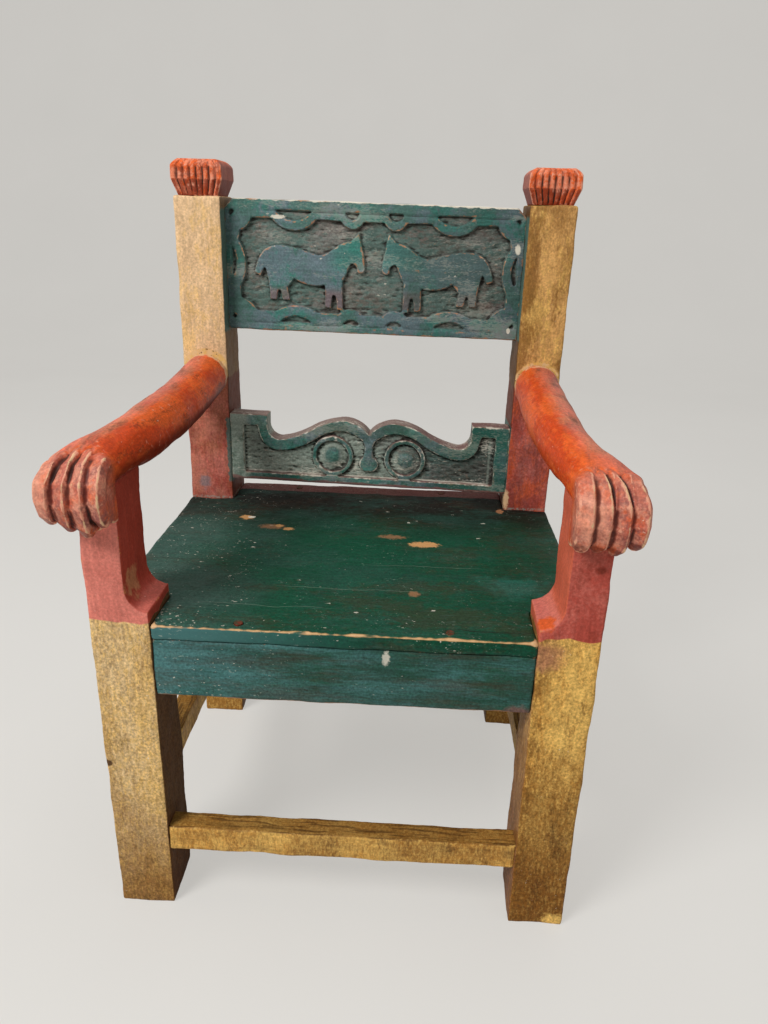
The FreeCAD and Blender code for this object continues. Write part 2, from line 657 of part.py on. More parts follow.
def flipped(stretches):
    """The left half that continues a right half, back up to its start."""
    return tuple(tuple((-across, up) for across, up in reversed(stretch))
                 for stretch in reversed(stretches))


def relief(stretches, place, depth):
    """A solid from the face of a rail into it, inside a closed outline in shares."""
    edges = []
    for stretch in stretches:
        points = [place(*share) for share in stretch]
        if len(points) == 2:
            curve = Part.LineSegment(*points)
        elif len(points) == 3:
            curve = Part.Arc(*points)
        else:
            curve = Part.BSplineCurve()
            curve.interpolate(points)
        edges.append(curve.toShape())
    return Part.Face(Part.Wire(edges)).extrude(Vector(0, depth, 0))


def rail_face(chair, face_y, level, height, side=1):
    """Turns shares of a back rail's half length and height into points on its face."""
    half, front = side * chair.read("back_inner_x"), chair.read(face_y)
    bottom, rise = chair.read(level), chair.read(height)
    return lambda across, up: Vector(across * half, front, bottom + up * rise)


def burro_face(chair, side):
    """Turns shares of a burro's length and height into points on the upper rail's face."""
    length, tall = chair.read("burro_length"), chair.read("burro_height")
    tail, hooves = chair.read("burro_nose_gap") / 2 + length, chair.read("burro_level")
    front = chair.read("crest_y")
    return lambda along, up: Vector(side * (tail - along * length), front, hooves + up * tall)


def crest_board(chair):
    """Board with clipped corners, a wavy band in low relief and two burros nose to nose."""
    face = ("crest_y", "crest_level", "crest_height")
    place, depth, eye_depth = rail_face(chair, *face), chair.read("relief_depth"), chair.read("eye_depth")
    clip_across = 1 - chair.read("crest_clip") / chair.read("back_inner_x")
    clip_up = 1 - chair.read("crest_clip") / chair.read("crest_height")
    half = (((0, 1), (clip_across, 1)), ((clip_across, 1), (1, clip_up)),
            ((1, clip_up), (1, 0)), ((1, 0), (0, 0)))
    board = relief(half + flipped(half), place, chair.read("crest_thickness"))
    ground = relief(WAVE_SHARES + flipped(WAVE_SHARES), place, depth)
    hollows = []
    for side in (-1, 1):
        ground = ground.cut(relief(BURRO_SHARES, burro_face(chair, side), depth))
        on_side = rail_face(chair, *face, side)
        for first, second, bow in EYE_SHARES:
            hollows.append(relief(((first, second), (second, bow, first)), on_side, eye_depth))
        for first, second, third in CORNER_SHARES:
            corner = ((first, second), (second, third), (third, first))
            hollows.append(relief(corner, on_side, eye_depth))
    return chair.carved("crest_board", board.cut([ground] + hollows))


def scroll_board(chair):
    """Board with a scrolled top, a raised rim, a hanging spade and two rosettes."""
    place = rail_face(chair, "lower_rail_y", "lower_rail_level", "lower_rail_height")
    depth = chair.read("relief_depth")
    board = relief(SCROLL_SHARES + flipped(SCROLL_SHARES), place, chair.read("lower_rail_thickness"))
    ground = relief(PANEL_SHARES + flipped(PANEL_SHARES), place, depth)
    ground = ground.cut(relief(SPADE_SHARES + flipped(SPADE_SHARES), place, depth))
    radius, button = chair.read("rosette_radius"), chair.read("rosette_button_radius")
    inward = Vector(0, 1, 0)
    for side in (-1, 1):
        middle = Vector(side * chair.read("rosette_spacing") / 2, chair.read("lower_rail_y"),
                        chair.read("rosette_level"))
        ring = Part.makeCylinder(radius, depth, middle, inward)
        ring = ring.cut(Part.makeCylinder(radius - chair.read("rosette_ring"), depth, middle, inward))
        cone = Part.makeCone(BUTTON_TOP_SHARE * button, button, depth, middle, inward)
        ground = ground.cut([ring, cone])
    return chair.carved("scroll_board", board.cut(ground))


def carved_rail(chair, name, board, rail, peg):
    """A carved board with its two tenons, bored for the pegs that lock them."""
    stock = chair.fuse(name + "_stock", [board] + rail.tenons(chair, name))
    return chair.cut(name, stock, both_sides(chair, peg(chair, name + "_bore", **HOLE)))


def pegged_seat_rail(chair, name, rail, middle_y):
    bore = seat_peg(chair, name + "_bore", middle_y, **HOLE)
    return chair.cut(name, rail.solid(chair, name + "_stock"), both_sides(chair, bore))


def seat_board(chair):
    """One plank, notched round the four posts and bored for its pegs."""
    plank = chair.block("seat_plank", ("-outer_x", "outer_x"), ("front_y", "rear_y"),
                        ("seat_under", "seat_height"))
    deep = eased(("seat_under", "seat_height"), "overrun")
    front_notch = chair.block("front_notch", ("front_inner_x - seat_gap", "outer_x + overrun"),
                              ("front_y - overrun", "front_post_rear_y + seat_gap"), deep)
    back_notch = chair.block("back_notch", ("back_inner_x - seat_gap", "outer_x + overrun"),
                             ("back_post_front_y - seat_gap", "rear_y + overrun"), deep)
    bores = [seat_peg(chair, "seat_front_bore", "front_rail_y", **HOLE),
             seat_peg(chair, "seat_rear_bore", "rear_rail_y", **HOLE)]
    waste = [front_notch, back_notch] + bores
    return chair.cut("seat_board", plank, [twin for cutter in waste for twin in both_sides(chair, cutter)])


def peg_group(chair, name, pegs):
    return chair.group(name, [peg for piece in pegs for peg in both_sides(chair, piece)])


def build(chair):
    """Every piece of the chair, each as one object that bears its node's name."""
    right = [front_post(chair), back_post(chair), arm(chair), finial(chair),
             SIDE_SEAT_RAIL.solid(chair, "side_seat_rail_right"),
             SIDE_STRETCHER.solid(chair, "side_stretcher_right")]
    left = [chair.mirrored(piece.Name.replace("_right", "_left"), piece) for piece in right]
    across = [
        seat_board(chair),
        pegged_seat_rail(chair, "front_seat_rail", FRONT_SEAT_RAIL, "front_rail_y"),
        pegged_seat_rail(chair, "rear_seat_rail", REAR_SEAT_RAIL, "rear_rail_y"),
        FRONT_STRETCHER.solid(chair, "front_stretcher"),
        REAR_STRETCHER.solid(chair, "rear_stretcher"),
        carved_rail(chair, "upper_back_rail", crest_board(chair), UPPER_BACK_RAIL, upper_peg),
        carved_rail(chair, "lower_back_rail", scroll_board(chair), LOWER_BACK_RAIL, lower_peg),
        peg_group(chair, "seat_pegs", [seat_peg(chair, "front_seat_peg", "front_rail_y"),
                                       seat_peg(chair, "rear_seat_peg", "rear_rail_y")]),
        peg_group(chair, "back_rail_pegs", [upper_peg(chair, "upper_rail_peg"),
                                            lower_peg(chair, "lower_rail_peg")]),
        peg_group(chair, "arm_pegs", [arm_peg(chair, "arm_peg")]),
    ]
    return right + left + across


def main():
    chair = Chair()
    nodes = build(chair)
    for node in nodes:
        node.Label = node.Name
    chair.doc.recompute()
    for thing in chair.doc.Objects:
        if {"Invalid", "Error"} & set(thing.State):
            raise RuntimeError(f"{thing.Name} failed: {thing.State}")
    for node in nodes:
        if node.Shape.isNull() or not node.Shape.isValid() or not node.Shape.Solids:
            raise RuntimeError(f"{node.Label} has no valid solid")
    os.makedirs("parts", exist_ok=True)
    for node in nodes:
        node.Shape.exportStep(f"parts/{node.Label}.step")
        print(f"{node.Label}: {len(node.Shape.Solids)} solid(s), {node.Shape.Volume:.0f} mm3")


main()
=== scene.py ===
"""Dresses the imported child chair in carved, painted and worn wood, on a pale floor in soft light."""

import math

import bmesh
import bpy
import numpy as np
from mathutils import Matrix, Vector


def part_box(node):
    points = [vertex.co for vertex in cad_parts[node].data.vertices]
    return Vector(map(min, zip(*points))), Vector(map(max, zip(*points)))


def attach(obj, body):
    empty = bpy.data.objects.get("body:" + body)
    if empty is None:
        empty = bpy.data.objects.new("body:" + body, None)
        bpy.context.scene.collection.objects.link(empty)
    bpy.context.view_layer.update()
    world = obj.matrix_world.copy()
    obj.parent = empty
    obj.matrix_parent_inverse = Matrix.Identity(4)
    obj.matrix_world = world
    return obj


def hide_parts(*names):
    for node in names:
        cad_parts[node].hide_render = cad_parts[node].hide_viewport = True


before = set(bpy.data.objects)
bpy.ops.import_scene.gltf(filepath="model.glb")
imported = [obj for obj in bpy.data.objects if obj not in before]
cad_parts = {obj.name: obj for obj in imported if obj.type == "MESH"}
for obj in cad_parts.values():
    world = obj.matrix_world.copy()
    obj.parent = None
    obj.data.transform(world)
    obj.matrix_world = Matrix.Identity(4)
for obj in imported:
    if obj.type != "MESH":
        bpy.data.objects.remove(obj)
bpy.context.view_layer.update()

bl_info = {
    "name": "Painted Child Chair",
    "version": (1, 0, 0),
    "blender": (4, 5, 0),
    "location": "View3D > Sidebar > Chair",
    "description": "Carves and paints the pieces of a child's chair on its packed frame",
    "category": "Object",
}

MM = 0.001
SIDES = ("right", "left")
# Stretch of the wood's grain, and of patches drawn out upwards, along the rails and a little along them
GRAIN_STRETCH = 0.07
TALL, LONG, OVAL = (1, 1, 0.45), (0.3, 1, 1), (0.5, 1, 1)
# Front faces of the legs and of the back posts, and half the length of the back rails
LEG_FRONT, POST_FRONT, RAIL_HALF = -0.169, 0.142, 0.162


# Sizes and colours that a user may change

def length(label, about, value):
    """A length property in metres."""
    return bpy.props.FloatProperty(name=label, description=about, default=value, unit="LENGTH", precision=5)


def paint(label, about, value):
    """A paint colour property, written as it looks on screen."""
    return bpy.props.FloatVectorProperty(
        name=label, description=about, default=value, size=3, min=0, max=1, subtype="COLOR_GAMMA")


def number(label, about, value, subtype="NONE"):
    """A plain number or an angle in radians."""
    return bpy.props.FloatProperty(name=label, description=about, default=value, subtype=subtype)


class ChairSizes(bpy.types.PropertyGroup):
    """How finely the wood is meshed and how deep it is carved and worn."""

    carving_grain: length("Carving grain", "Mesh size on the carved crest", 1.2 * MM)
    lower_grain: length("Lower rail grain", "Mesh size on the scrolled rail", 0.95 * MM)
    arm_grain: length("Arm grain", "Mesh size on the arms and paws", 1.0 * MM)
    post_grain: length("Post grain", "Mesh size on the posts and plain rails", 1.7 * MM)
    seat_grain: length("Seat grain", "Mesh size on the seat", 1.85 * MM)
    stretcher_grain: length("Stretcher grain", "Mesh size on the stretchers", 1.4 * MM)
    finial_grain: length("Finial grain", "Mesh size on the finials", 0.75 * MM)
    peg_grain: length("Peg grain", "Mesh size on the pegs", 0.6 * MM)
    relief: length("Relief", "Depth of the cut grounds under the raised carving", 4 * MM)
    hewn_depth: length("Hewn depth", "How far the flat faces wander", 0.45 * MM)
    hewn_length: length("Hewn length", "How long the waves of a hewn face are", 46 * MM)
    tool_depth: length("Tool mark depth", "Depth of the gouge marks in the carved grounds", 0.75 * MM)
    line_depth: length("Line depth", "Depth of an incised line", 0.9 * MM)
    line_width: length("Line width", "Half width of an incised line", 1.1 * MM)
    paw_x: length("Paw", "Middle of a paw, from the middle of the chair", 199.5 * MM)
    palm_y: length("Palm depth", "Middle of the palm, from front to back", -168.95 * MM)
    palm_z: length("Palm height", "Middle of the palm above the floor", 424 * MM)
    toe_pitch: length("Toe pitch", "From toe to toe", 13.3 * MM)
    toe_curl: length("Toe curl", "From the palm's middle to a toe's middle", 25.5 * MM)
    toe_radius: length("Toe radius", "Half a toe's thickness", 7.6 * MM)
    toe_floor: length("Toe floor", "From the palm's middle to the cut between two toes", 29.2 * MM)
    toe_ridge: length("Toe ridge", "Height of a toe's ridge over the cuts", 4.6 * MM)
    crease_depth: length("Crease depth", "Depth of the crease behind a knuckle", 1.1 * MM)
    peg_radius: length("Peg radius", "Half a peg's thickness", 4 * MM)
    stopper_radius: length("Stopper radius", "Half the width of a stopper", 6 * MM)
    stopper: length("Stopper", "Depth of the paint and filler over a peg's hidden end", 5 * MM)
    crest_drop: length("Crest drop", "How far the crest's right end sags", 1.7 * MM)
    scroll_drop: length("Scroll drop", "How far the lower rail's right end sags", 3.8 * MM)


class ChairPaints(bpy.types.PropertyGroup):
    """The paints, and the wood and dirt that show through and over them; some colours also serve as painted
    light and shade.
    """

    # The left legs' pale ochre and the left back post's cream are paler partly in their paint and partly as
    # painted light falling from the left.
    ochre_pale: paint("Pale ochre", "Left legs and thin ochre", (0.83, 0.71, 0.52))
    ochre: paint("Ochre", "Right legs and stretchers", (0.80, 0.59, 0.28))
    # Golden ochre also serves as a painted highlight on the right leg's front.
    ochre_gold: paint("Golden ochre", "Fresh patches of ochre", (0.87, 0.70, 0.38))
    # Worn ochre also serves as painted shade low on the front legs.
    ochre_brown: paint("Worn ochre", "Rubbed and dirty ochre", (0.48, 0.31, 0.115))
    cream: paint("Cream", "Left back post", (0.86, 0.72, 0.55))
    honey: paint("Honey", "Right back post", (0.81, 0.62, 0.37))
    # Umber also serves as painted shade on the left front post's inner faces.
    umber: paint("Umber", "Inner faces and stains", (0.26, 0.14, 0.06))
    # Salmon also serves as a painted reflection on the tops of the arms.
    salmon: paint("Salmon", "Faded red on the left support", (0.83, 0.49, 0.43))
    brick: paint("Brick", "Red on posts and supports", (0.67, 0.29, 0.24))
    brick_dark: paint("Dark brick", "Deep red in the shade", (0.46, 0.17, 0.11))
    orange: paint("Orange red", "Arms and finials", (0.84, 0.36, 0.14))
    # Deep orange also serves as painted shade under the arms and on the left support's inner faces.
    orange_deep: paint("Deep orange", "Thick orange under the arms", (0.70, 0.16, 0.02))
    # Worn pink also serves as a painted highlight on the left paw.
    pink: paint("Worn pink", "Rubbed tops of arms and paws", (0.88, 0.61, 0.50))
    maroon: paint("Maroon", "Shaded side of the arms", (0.36, 0.08, 0.03))
    rose: paint("Rose", "Faded red of the paws", (0.74, 0.44, 0.36))
    # Mauve also serves as painted shade on the finials' sides and on the paws' lower parts.
    mauve: paint("Mauve", "Dull red with grime", (0.50, 0.31, 0.29))
    teal: paint("Teal", "Carved rails", (0.29, 0.42, 0.39))
    teal_blue: paint("Teal blue", "Blue patches on the carving", (0.40, 0.46, 0.49))
    teal_bright: paint("Bright teal", "Fresh green blue", (0.21, 0.47, 0.42))
    sage: paint("Sage", "Grey green of the carved grounds", (0.45, 0.46, 0.43))
    haze: paint("Haze", "Dry brushed grey green of the lower rail", (0.58, 0.62, 0.57))
    emerald: paint("Emerald", "Seat", (0.035, 0.255, 0.175))
    emerald_grey: paint("Greyed emerald", "Dusty edges of the seat", (0.24, 0.34, 0.31))
    apron_green: paint("Apron green", "Front of the seat", (0.15, 0.29, 0.25))
    apron_blue: paint("Apron blue", "Left of the apron", (0.28, 0.46, 0.46))
    bare_wood: paint("Bare wood", "Wood under chipped paint", (0.78, 0.58, 0.37))
    tan: paint("Tan", "Orange brown edges", (0.70, 0.48, 0.33))
    chalk: paint("Chalk", "White ground under the paint", (0.88, 0.85, 0.78))
    # Dark dirt, also laid as painted shade in the hollows.
    grime_and_shade: paint("Grime", "Dirt in the hollows", (0.10, 0.075, 0.06))
    floor: paint("Floor", "Pale floor", (0.88, 0.87, 0.85))


class ChairView(bpy.types.PropertyGroup):
    """Where the camera stands and how the light falls."""

    stand: bpy.props.FloatVectorProperty(
        name="Camera", description="Where the camera stands", default=(0.0519, -0.72565, 0.6285),
        size=3, subtype="TRANSLATION", unit="LENGTH")
    yaw: number("Yaw", "Turn to the right", -0.0368, "ANGLE")
    pitch: number("Pitch", "Tilt upwards", -0.3667, "ANGLE")
    roll: number("Roll", "Lean of the camera", 0.0286, "ANGLE")
    focal_share: number("Focal share", "Focal length as a share of the picture's height", 0.7557)
    sky: number("Sky", "Strength of the light from all round", 0.30)
    backdrop: number("Backdrop", "Strength of the backdrop past the floor", 0.95)
    glow: number("Floor glow", "Share of its own colour that the floor shows to the camera", 0.65)
    floor_half: length("Floor", "Half the floor's width, and the wall's height", 4.0)
    sweep: length("Sweep", "Reach of the curve from the floor to the wall", 1.6)


def sizes():
    return bpy.context.scene.chair_sizes


def paints():
    return bpy.context.scene.chair_paints


def linear(colour):
    """A screen colour as the renderer's linear red, green, blue and alpha."""
    return [c / 12.92 if c <= 0.04045 else ((c + 0.055) / 1.055) ** 2.4 for c in colour] + [1.0]


# Finishes

class Wire:
    """A socket of a finish; sums and products of wires add Math nodes."""

    def __init__(self, brush, socket):
        self.brush, self.socket = brush, socket

    def __add__(self, other):
        return self.brush.math("ADD", self, other)

    def __radd__(self, other):
        return self.brush.math("ADD", other, self)

    def __sub__(self, other):
        return self.brush.math("SUBTRACT", self, other)

    def __rsub__(self, other):
        return self.brush.math("SUBTRACT", other, self)

    def __mul__(self, other):
        return self.brush.math("MULTIPLY", self, other)

    def __rmul__(self, other):
        return self.brush.math("MULTIPLY", other, self)

    def __abs__(self):
        return self.brush.math("ABSOLUTE", self)


class Nodes:
    """Adds nodes to a node tree."""

    def __init__(self, tree):
        self.tree = tree
        tree.nodes.clear()

    @staticmethod
    def find(sockets, key):
        if isinstance(key, int):
            return sockets[key]
        for socket in sockets:
            if socket.identifier == key:
                return socket
        return sockets[key]

    def node(self, kind, settings=None, inputs=None, out=0):
        """A node of that kind, with its settings and then its sockets, as the wire of one output."""
        node = self.tree.nodes.new(kind)
        for name, value in (settings or {}).items():
            setattr(node, name, value)
        for key, value in (inputs or {}).items():
            socket = self.find(node.inputs, key)
            if isinstance(value, Wire):
                self.tree.links.new(value.socket, socket)
            else:
                socket.default_value = value
        return Wire(self, self.find(node.outputs, out)) if node.outputs else None

    def other(self, wire, out):
        """Another output of the node that a wire comes from."""
        return Wire(self, self.find(wire.socket.node.outputs, out))

    def math(self, operation, first, second=0.0):
        return self.node("ShaderNodeMath", {"operation": operation}, {0: first, 1: second})

    def parts(self, vector):
        first = self.node("ShaderNodeSeparateXYZ", inputs={0: vector}, out="X")
        return first, self.other(first, "Y"), self.other(first, "Z")

    def seen(self):
        """1 where the camera sees a thing straight, in a mirror or through glass, 0 for its light."""
        path = self.node("ShaderNodeLightPath", out="Is Camera Ray")
        mirrored = path + self.other(path, "Is Glossy Ray") + self.other(path, "Is Transmission Ray")
        return self.node("ShaderNodeMath", {"operation": "MINIMUM"}, {0: mirrored, 1: 1.0})

    def blend(self, share, first, second):
        return self.node("ShaderNodeMixShader", inputs={0: share, 1: first, 2: second})


class Brush(Nodes):
    """Lays one finish on painted wood, coat over coat, as a node tree."""

    def __init__(self, name, grain):
        self.material = bpy.data.materials.new(name)
        self.material.use_nodes = True
        super().__init__(self.material.node_tree)
        self.grain = [GRAIN_STRETCH if axis == grain else 1.0 for axis in "XYZ"]
        self.place = self.node("ShaderNodeTexCoord", out="Object")
        self.x, self.y, self.z = self.parts(self.place)
        self.east, self.north, self.up = self.parts(self.other(self.place, "Normal"))
        self.edge = self.node("ShaderNodeAttribute", {"attribute_name": "edge"}, out="Fac")
        self.hollow = self.node("ShaderNodeAttribute", {"attribute_name": "hollow"}, out="Fac")
        self.colour = None
        self.height = None

    def step(self, value, low, high):
        """0 at low, 1 at high, with a soft rise between."""
        return self.node(
            "ShaderNodeMapRange", {"interpolation_type": "SMOOTHSTEP", "clamp": True},
            {"Value": value, "From Min": low, "From Max": high}, out="Result")

    def scaled(self, size, stretch=None, shift=0.0):
        """The place, counted in steps of a size in millimetres."""
        return self.node(
            "ShaderNodeMapping", inputs={
                "Vector": self.place, "Location": (shift, 1.7 * shift, 2.3 * shift),
                "Scale": [s / (size * MM) for s in stretch or (1.0, 1.0, 1.0)]}, out="Vector")

    def cloud(self, size, stretch=None, detail=2.0, shift=0.0):
        """A noise with lumps about size millimetres across, round one half."""
        return self.node(
            "ShaderNodeTexNoise", {"noise_dimensions": "3D"},
            {"Vector": self.scaled(size, stretch, shift), "Scale": 1.0, "Detail": detail, "Roughness": 0.55},
            out="Fac")

    def wander(self, reach, *cloud):
        """A noise round zero, with that reach from its lowest to its highest."""
        return (self.cloud(*cloud) - 0.5) * reach

    def streak(self, size, detail=3.0, shift=0.0):
        """A noise drawn out along the grain."""
        return self.cloud(size, self.grain, detail, shift)

    def patches(self, coarse, fine, level=0.0, shift=0.0, stretch=None, soft=0.10):
        """Patches with crumbled edges, fewer where the level is high; half the surface at level 0."""
        lumps = self.cloud(coarse, stretch, 3.0, shift)
        crumbs = self.cloud(fine, stretch, 4.0, shift + 5.0)
        return self.step(lumps + crumbs * 0.6 - level, 0.8 - soft, 0.8 + soft)

    def flecks(self, size, share, stretch=None, shift=0.0):
        """Small flakes, in a share of the cells of a scattered pattern."""
        cell = self.node(
            "ShaderNodeTexVoronoi", {"feature": "F1"},
            {"Vector": self.scaled(size, stretch, shift), "Scale": 1.0, "Randomness": 1.0}, out="Distance")
        chance, small, _ = self.parts(self.other(cell, "Color"))
        ragged = self.wander(0.9, size * 0.25, stretch, 2.0, shift)
        shape = self.step(cell + ragged + small * 0.16, 0.32, 0.22)
        return self.step(chance, 1 - share, 1 - 0.7 * share) * shape

    def specks(self, size, level, stretch=None, shift=0.0):
        """Fine torn specks that come in drifts, fewer where the level is high."""
        drift = self.wander(0.3, 30, None, 2.0, shift + 3.0)
        return self.step(self.cloud(size, stretch, 2.0, shift) + drift - level, 0.70, 0.76)

    def band(self, value, low, high, soft):
        """1 between low and high."""
        return self.step(value, low - soft, low + soft) * self.step(value, high + soft, high - soft)

    def spot(self, centre, radii, ragged=0.5, soft=0.2):
        """A torn patch round a point."""
        inner = self.node("ShaderNodeVectorMath", {"operation": "SUBTRACT"}, {0: self.place, 1: centre})
        share = self.node(
            "ShaderNodeVectorMath", {"operation": "MULTIPLY"}, {0: inner, 1: [1 / r for r in radii]})
        reach = self.node("ShaderNodeVectorMath", {"operation": "LENGTH"}, {0: share}, out="Value")
        torn = self.wander(2 * ragged, min(radii) * 0.9 / MM, None, 3.0)
        return self.step(reach + torn, 1 + soft, 1 - soft)

    def tone(self, name):
        return linear(getattr(paints(), name))

    def prime(self, name):
        self.colour = self.tone(name)

    def lay(self, name, mask):
        """A coat of paint where the mask is 1."""
        self.colour = self.node(
            "ShaderNodeMix", {"data_type": "RGBA", "clamp_factor": True},
            {"Factor_Float": mask, "A_Color": self.colour, "B_Color": self.tone(name)}, out="Result_Color")

    def fade(self, name, amount, *step):
        """A coat that comes in softly along a value."""
        self.lay(name, self.step(*step) * amount)

    def mottle(self, name, amount, *patches):
        """A coat in patches."""
        self.lay(name, self.patches(*patches) * amount)

    def stain(self, name, amount, *spot):
        """A coat on one torn patch."""
        self.lay(name, self.spot(*spot) * amount)

    def spatter(self, name, amount, *specks):
        """A coat of fine specks."""
        self.lay(name, self.specks(*specks) * amount)

    def vary(self, wire, amount):
        """Lighter where a noise is high and darker where it is low."""
        value = 1 + (wire - 0.5) * (2 * amount)
        self.colour = self.node("ShaderNodeHueSaturation", inputs={"Color": self.colour, "Value": value})

    def raise_by(self, wire):
        self.height = wire if self.height is None else self.height + wire

    def brushwork(self, coarse, fine, streaky):
        """Uneven strokes, grain and speckle in the colour and the surface."""
        strokes, speckle = self.streak(3.2), self.cloud(2.1, None, 3.0)
        self.vary(self.cloud(34, None, 3.0, 4.0), coarse)
        self.vary(strokes, streaky)
        self.vary(speckle, fine)
        self.raise_by(strokes * 0.7 + speckle * 0.3)

    def rub_edges_and_highlights(self, name, amount, width=0.5, shift=0.0):
        """Bare edges where the wood sticks out and is worn by hands and feet; on the paws and the carving
        these pale edges are also painted highlights.
        """
        ragged = self.wander(1.3, 7, None, 4.0, shift)
        mask = self.step(self.edge + ragged, width, width + 0.22) * amount
        self.lay(name, mask)
        self.raise_by(mask * -0.5)

    def soil_and_shade(self, amount, low=0.12, high=0.5):
        """Dirt and painted shade that lie in the hollows, thicker in some places than in others."""
        thick = 0.55 + self.cloud(24, None, 2.0, 11.0) * 0.9
        self.lay("grime_and_shade", self.step(self.hollow, low, high) * thick * amount)

    def varnish(self, rough, bump, shine=0.18):
        """The finished material; bump is the height of the strokes in millimetres."""
        relief = {"Strength": 0.7, "Distance": bump * MM, "Height": self.height}
        surface = self.node("ShaderNodeBump", inputs=relief, out="Normal")
        roughness = rough + self.wander(0.3, 9, None, 2.0, 9.0)
        shader = self.node("ShaderNodeBsdfPrincipled", inputs={
            "Base Color": self.colour, "Roughness": roughness, "Normal": surface,
            "Specular IOR Level": shine}, out="BSDF")
        self.node("ShaderNodeOutputMaterial", inputs={"Surface": shader})
        return self.material


def sign_of(side):
    return 1.0 if side == "right" else -1.0


def ochre_coats(brush, pale, dirt_and_low_shade):
    """Ochre with fine gold and brown mottling; the last argument is 1 where it is rubbed and dirty, and on
    the legs also where painted shade browns them toward the floor.
    """
    tall = (1, 1, 0.35)
    brush.prime("ochre_pale" if pale else "ochre")
    brush.mottle("ochre_gold", 0.5 if pale else 0.95, 30, 3, 0.02, 1.0, tall, 0.18)
    brush.mottle("ochre_brown", 0.5, 34, 2, 0.11 if pale else 0.07, 2.0, tall, 0.18)
    brush.lay("ochre_brown", dirt_and_low_shade)
    brush.mottle("ochre_brown", 0.28 if pale else 0.5, 2.8, 1.0, 0.04, 3.0, tall, 0.14)
    brush.mottle("ochre_gold", (1 - dirt_and_low_shade * 0.6) * (0.5 if pale else 0.6), 2.3, 0.9, 0.07, 6.0, tall, 0.12)
    brush.mottle("umber", 0.5, 20, 1.4, 0.17 - dirt_and_low_shade * 0.06, 4.0, tall, 0.1)


def front_post_finish(side):
    """Ochre leg, red support."""
    left, inward = side == "left", -sign_of(side)
    brush = Brush(f"front_post_paint_{side}", "Z")
    # Painted shade: each leg turns browner toward the floor, the left below about 0.16 m and the right below
    # about 0.27 m.
    level = brush.z + brush.wander(0.16, 50, None, 3.0, 12.0)
    # Painted light: the left leg takes the paler ochre, partly because light falls from the left.
    ochre_coats(brush, left, brush.step(level, 0.16, 0.0) * 0.85 if left else brush.step(level, 0.27, 0.02))
    inner = brush.step(brush.east * inward, 0.5, 0.8)
    # Painted shade: umber on the left leg's inner faces, and hardly any on the right leg's, which are lit.
    brush.lay("umber", inner * (0.92 if left else 0.05))
    if not left:
        brush.lay("mauve", inner * 0.35)
        brush.mottle("ochre_brown", brush.step(brush.x, 0.182, 0.164) * 0.7, 18, 2, 0.0, 9.0, TALL)
        # Painted highlight: a golden gleam on the right leg's front, about 0.245 m above the floor.
        painted_sheen = brush.spot((0.196, LEG_FRONT, 0.245), (0.019, 0.03, 0.062), 0.9, 0.5)
        brush.mottle("ochre_gold", painted_sheen * 0.9, 10, 1.6, -0.05, 10.0, TALL, 0.16)
    wobble = brush.wander(0.018, 38, None, 2.0, 6.0)
    red = brush.step(brush.z + wobble, 0.3083, 0.3097)
    brush.lay("salmon" if left else "brick", red)
    other = "brick" if left else "salmon"
    brush.mottle(other, red * (0.25 if left else 0.40), 34, 3, 0.06, 7.0, None, 0.16)
    brush.mottle("brick_dark", red * (0.2 if left else 0.45), 26, 2, 0.09, 8.0, None, 0.14)
    # Painted light and shade on the support's inner faces: dark brick and deep orange on the left, orange and
    # salmon on the right.
    brush.lay("brick_dark", red * inner * (0.8 if left else 0.1))
    brush.lay("orange_deep" if left else "orange", red * inner * (0.3 if left else 0.55))
    if not left:
        brush.lay("salmon", red * inner * 0.25)
    brush.fade(other, red * 0.6, brush.up, 0.30, 0.65)
    if left:
        brush.stain("tan", 0.8, (-0.174, -0.150, 0.338), (0.009, 0.016, 0.012), 1.2, 0.3)
        brush.stain("ochre_gold", 0.6, (-0.173, -0.154, 0.341), (0.004, 0.008, 0.006), 1.2, 0.3)
        brush.stain("umber", 0.9, (-0.2103, LEG_FRONT, 0.162), (0.004, 0.006, 0.0035), 0.3)
    else:
        brush.stain("orange", 0.9, (0.1655, -0.160, 0.322), (0.008, 0.012, 0.008), 0.7)
        brush.stain("brick_dark", 0.8, (0.2034, LEG_FRONT, 0.3728), (0.004, 0.006, 0.0035), 0.6, 0.5)
        brush.stain("tan", 0.7, (0.168, LEG_FRONT, 0.293), (0.016, 0.01, 0.013), 0.6, 0.4)
        brush.stain("mauve", 0.3, (0.164, LEG_FRONT, 0.290), (0.014, 0.01, 0.012), 0.6, 0.5)
        brush.stain("ochre_gold", 1.0, (0.205, LEG_FRONT, 0.006), (0.012, 0.006, 0.007), 0.9, 0.3)
    brush.brushwork(0.12, 0.95 - red * 0.55, 0.30)
    brush.spatter("chalk", (1 - inner) * 0.6, 2.4, 0.05)
    brush.rub_edges_and_highlights("ochre_gold" if left else "tan", 0.6, 0.5)
    brush.rub_edges_and_highlights("chalk", 0.35, 0.62, 3.0)
    brush.soil_and_shade(0.75)
    return brush.varnish(0.6 + inner * 0.2 if left else 0.6, 0.5, 0.11)


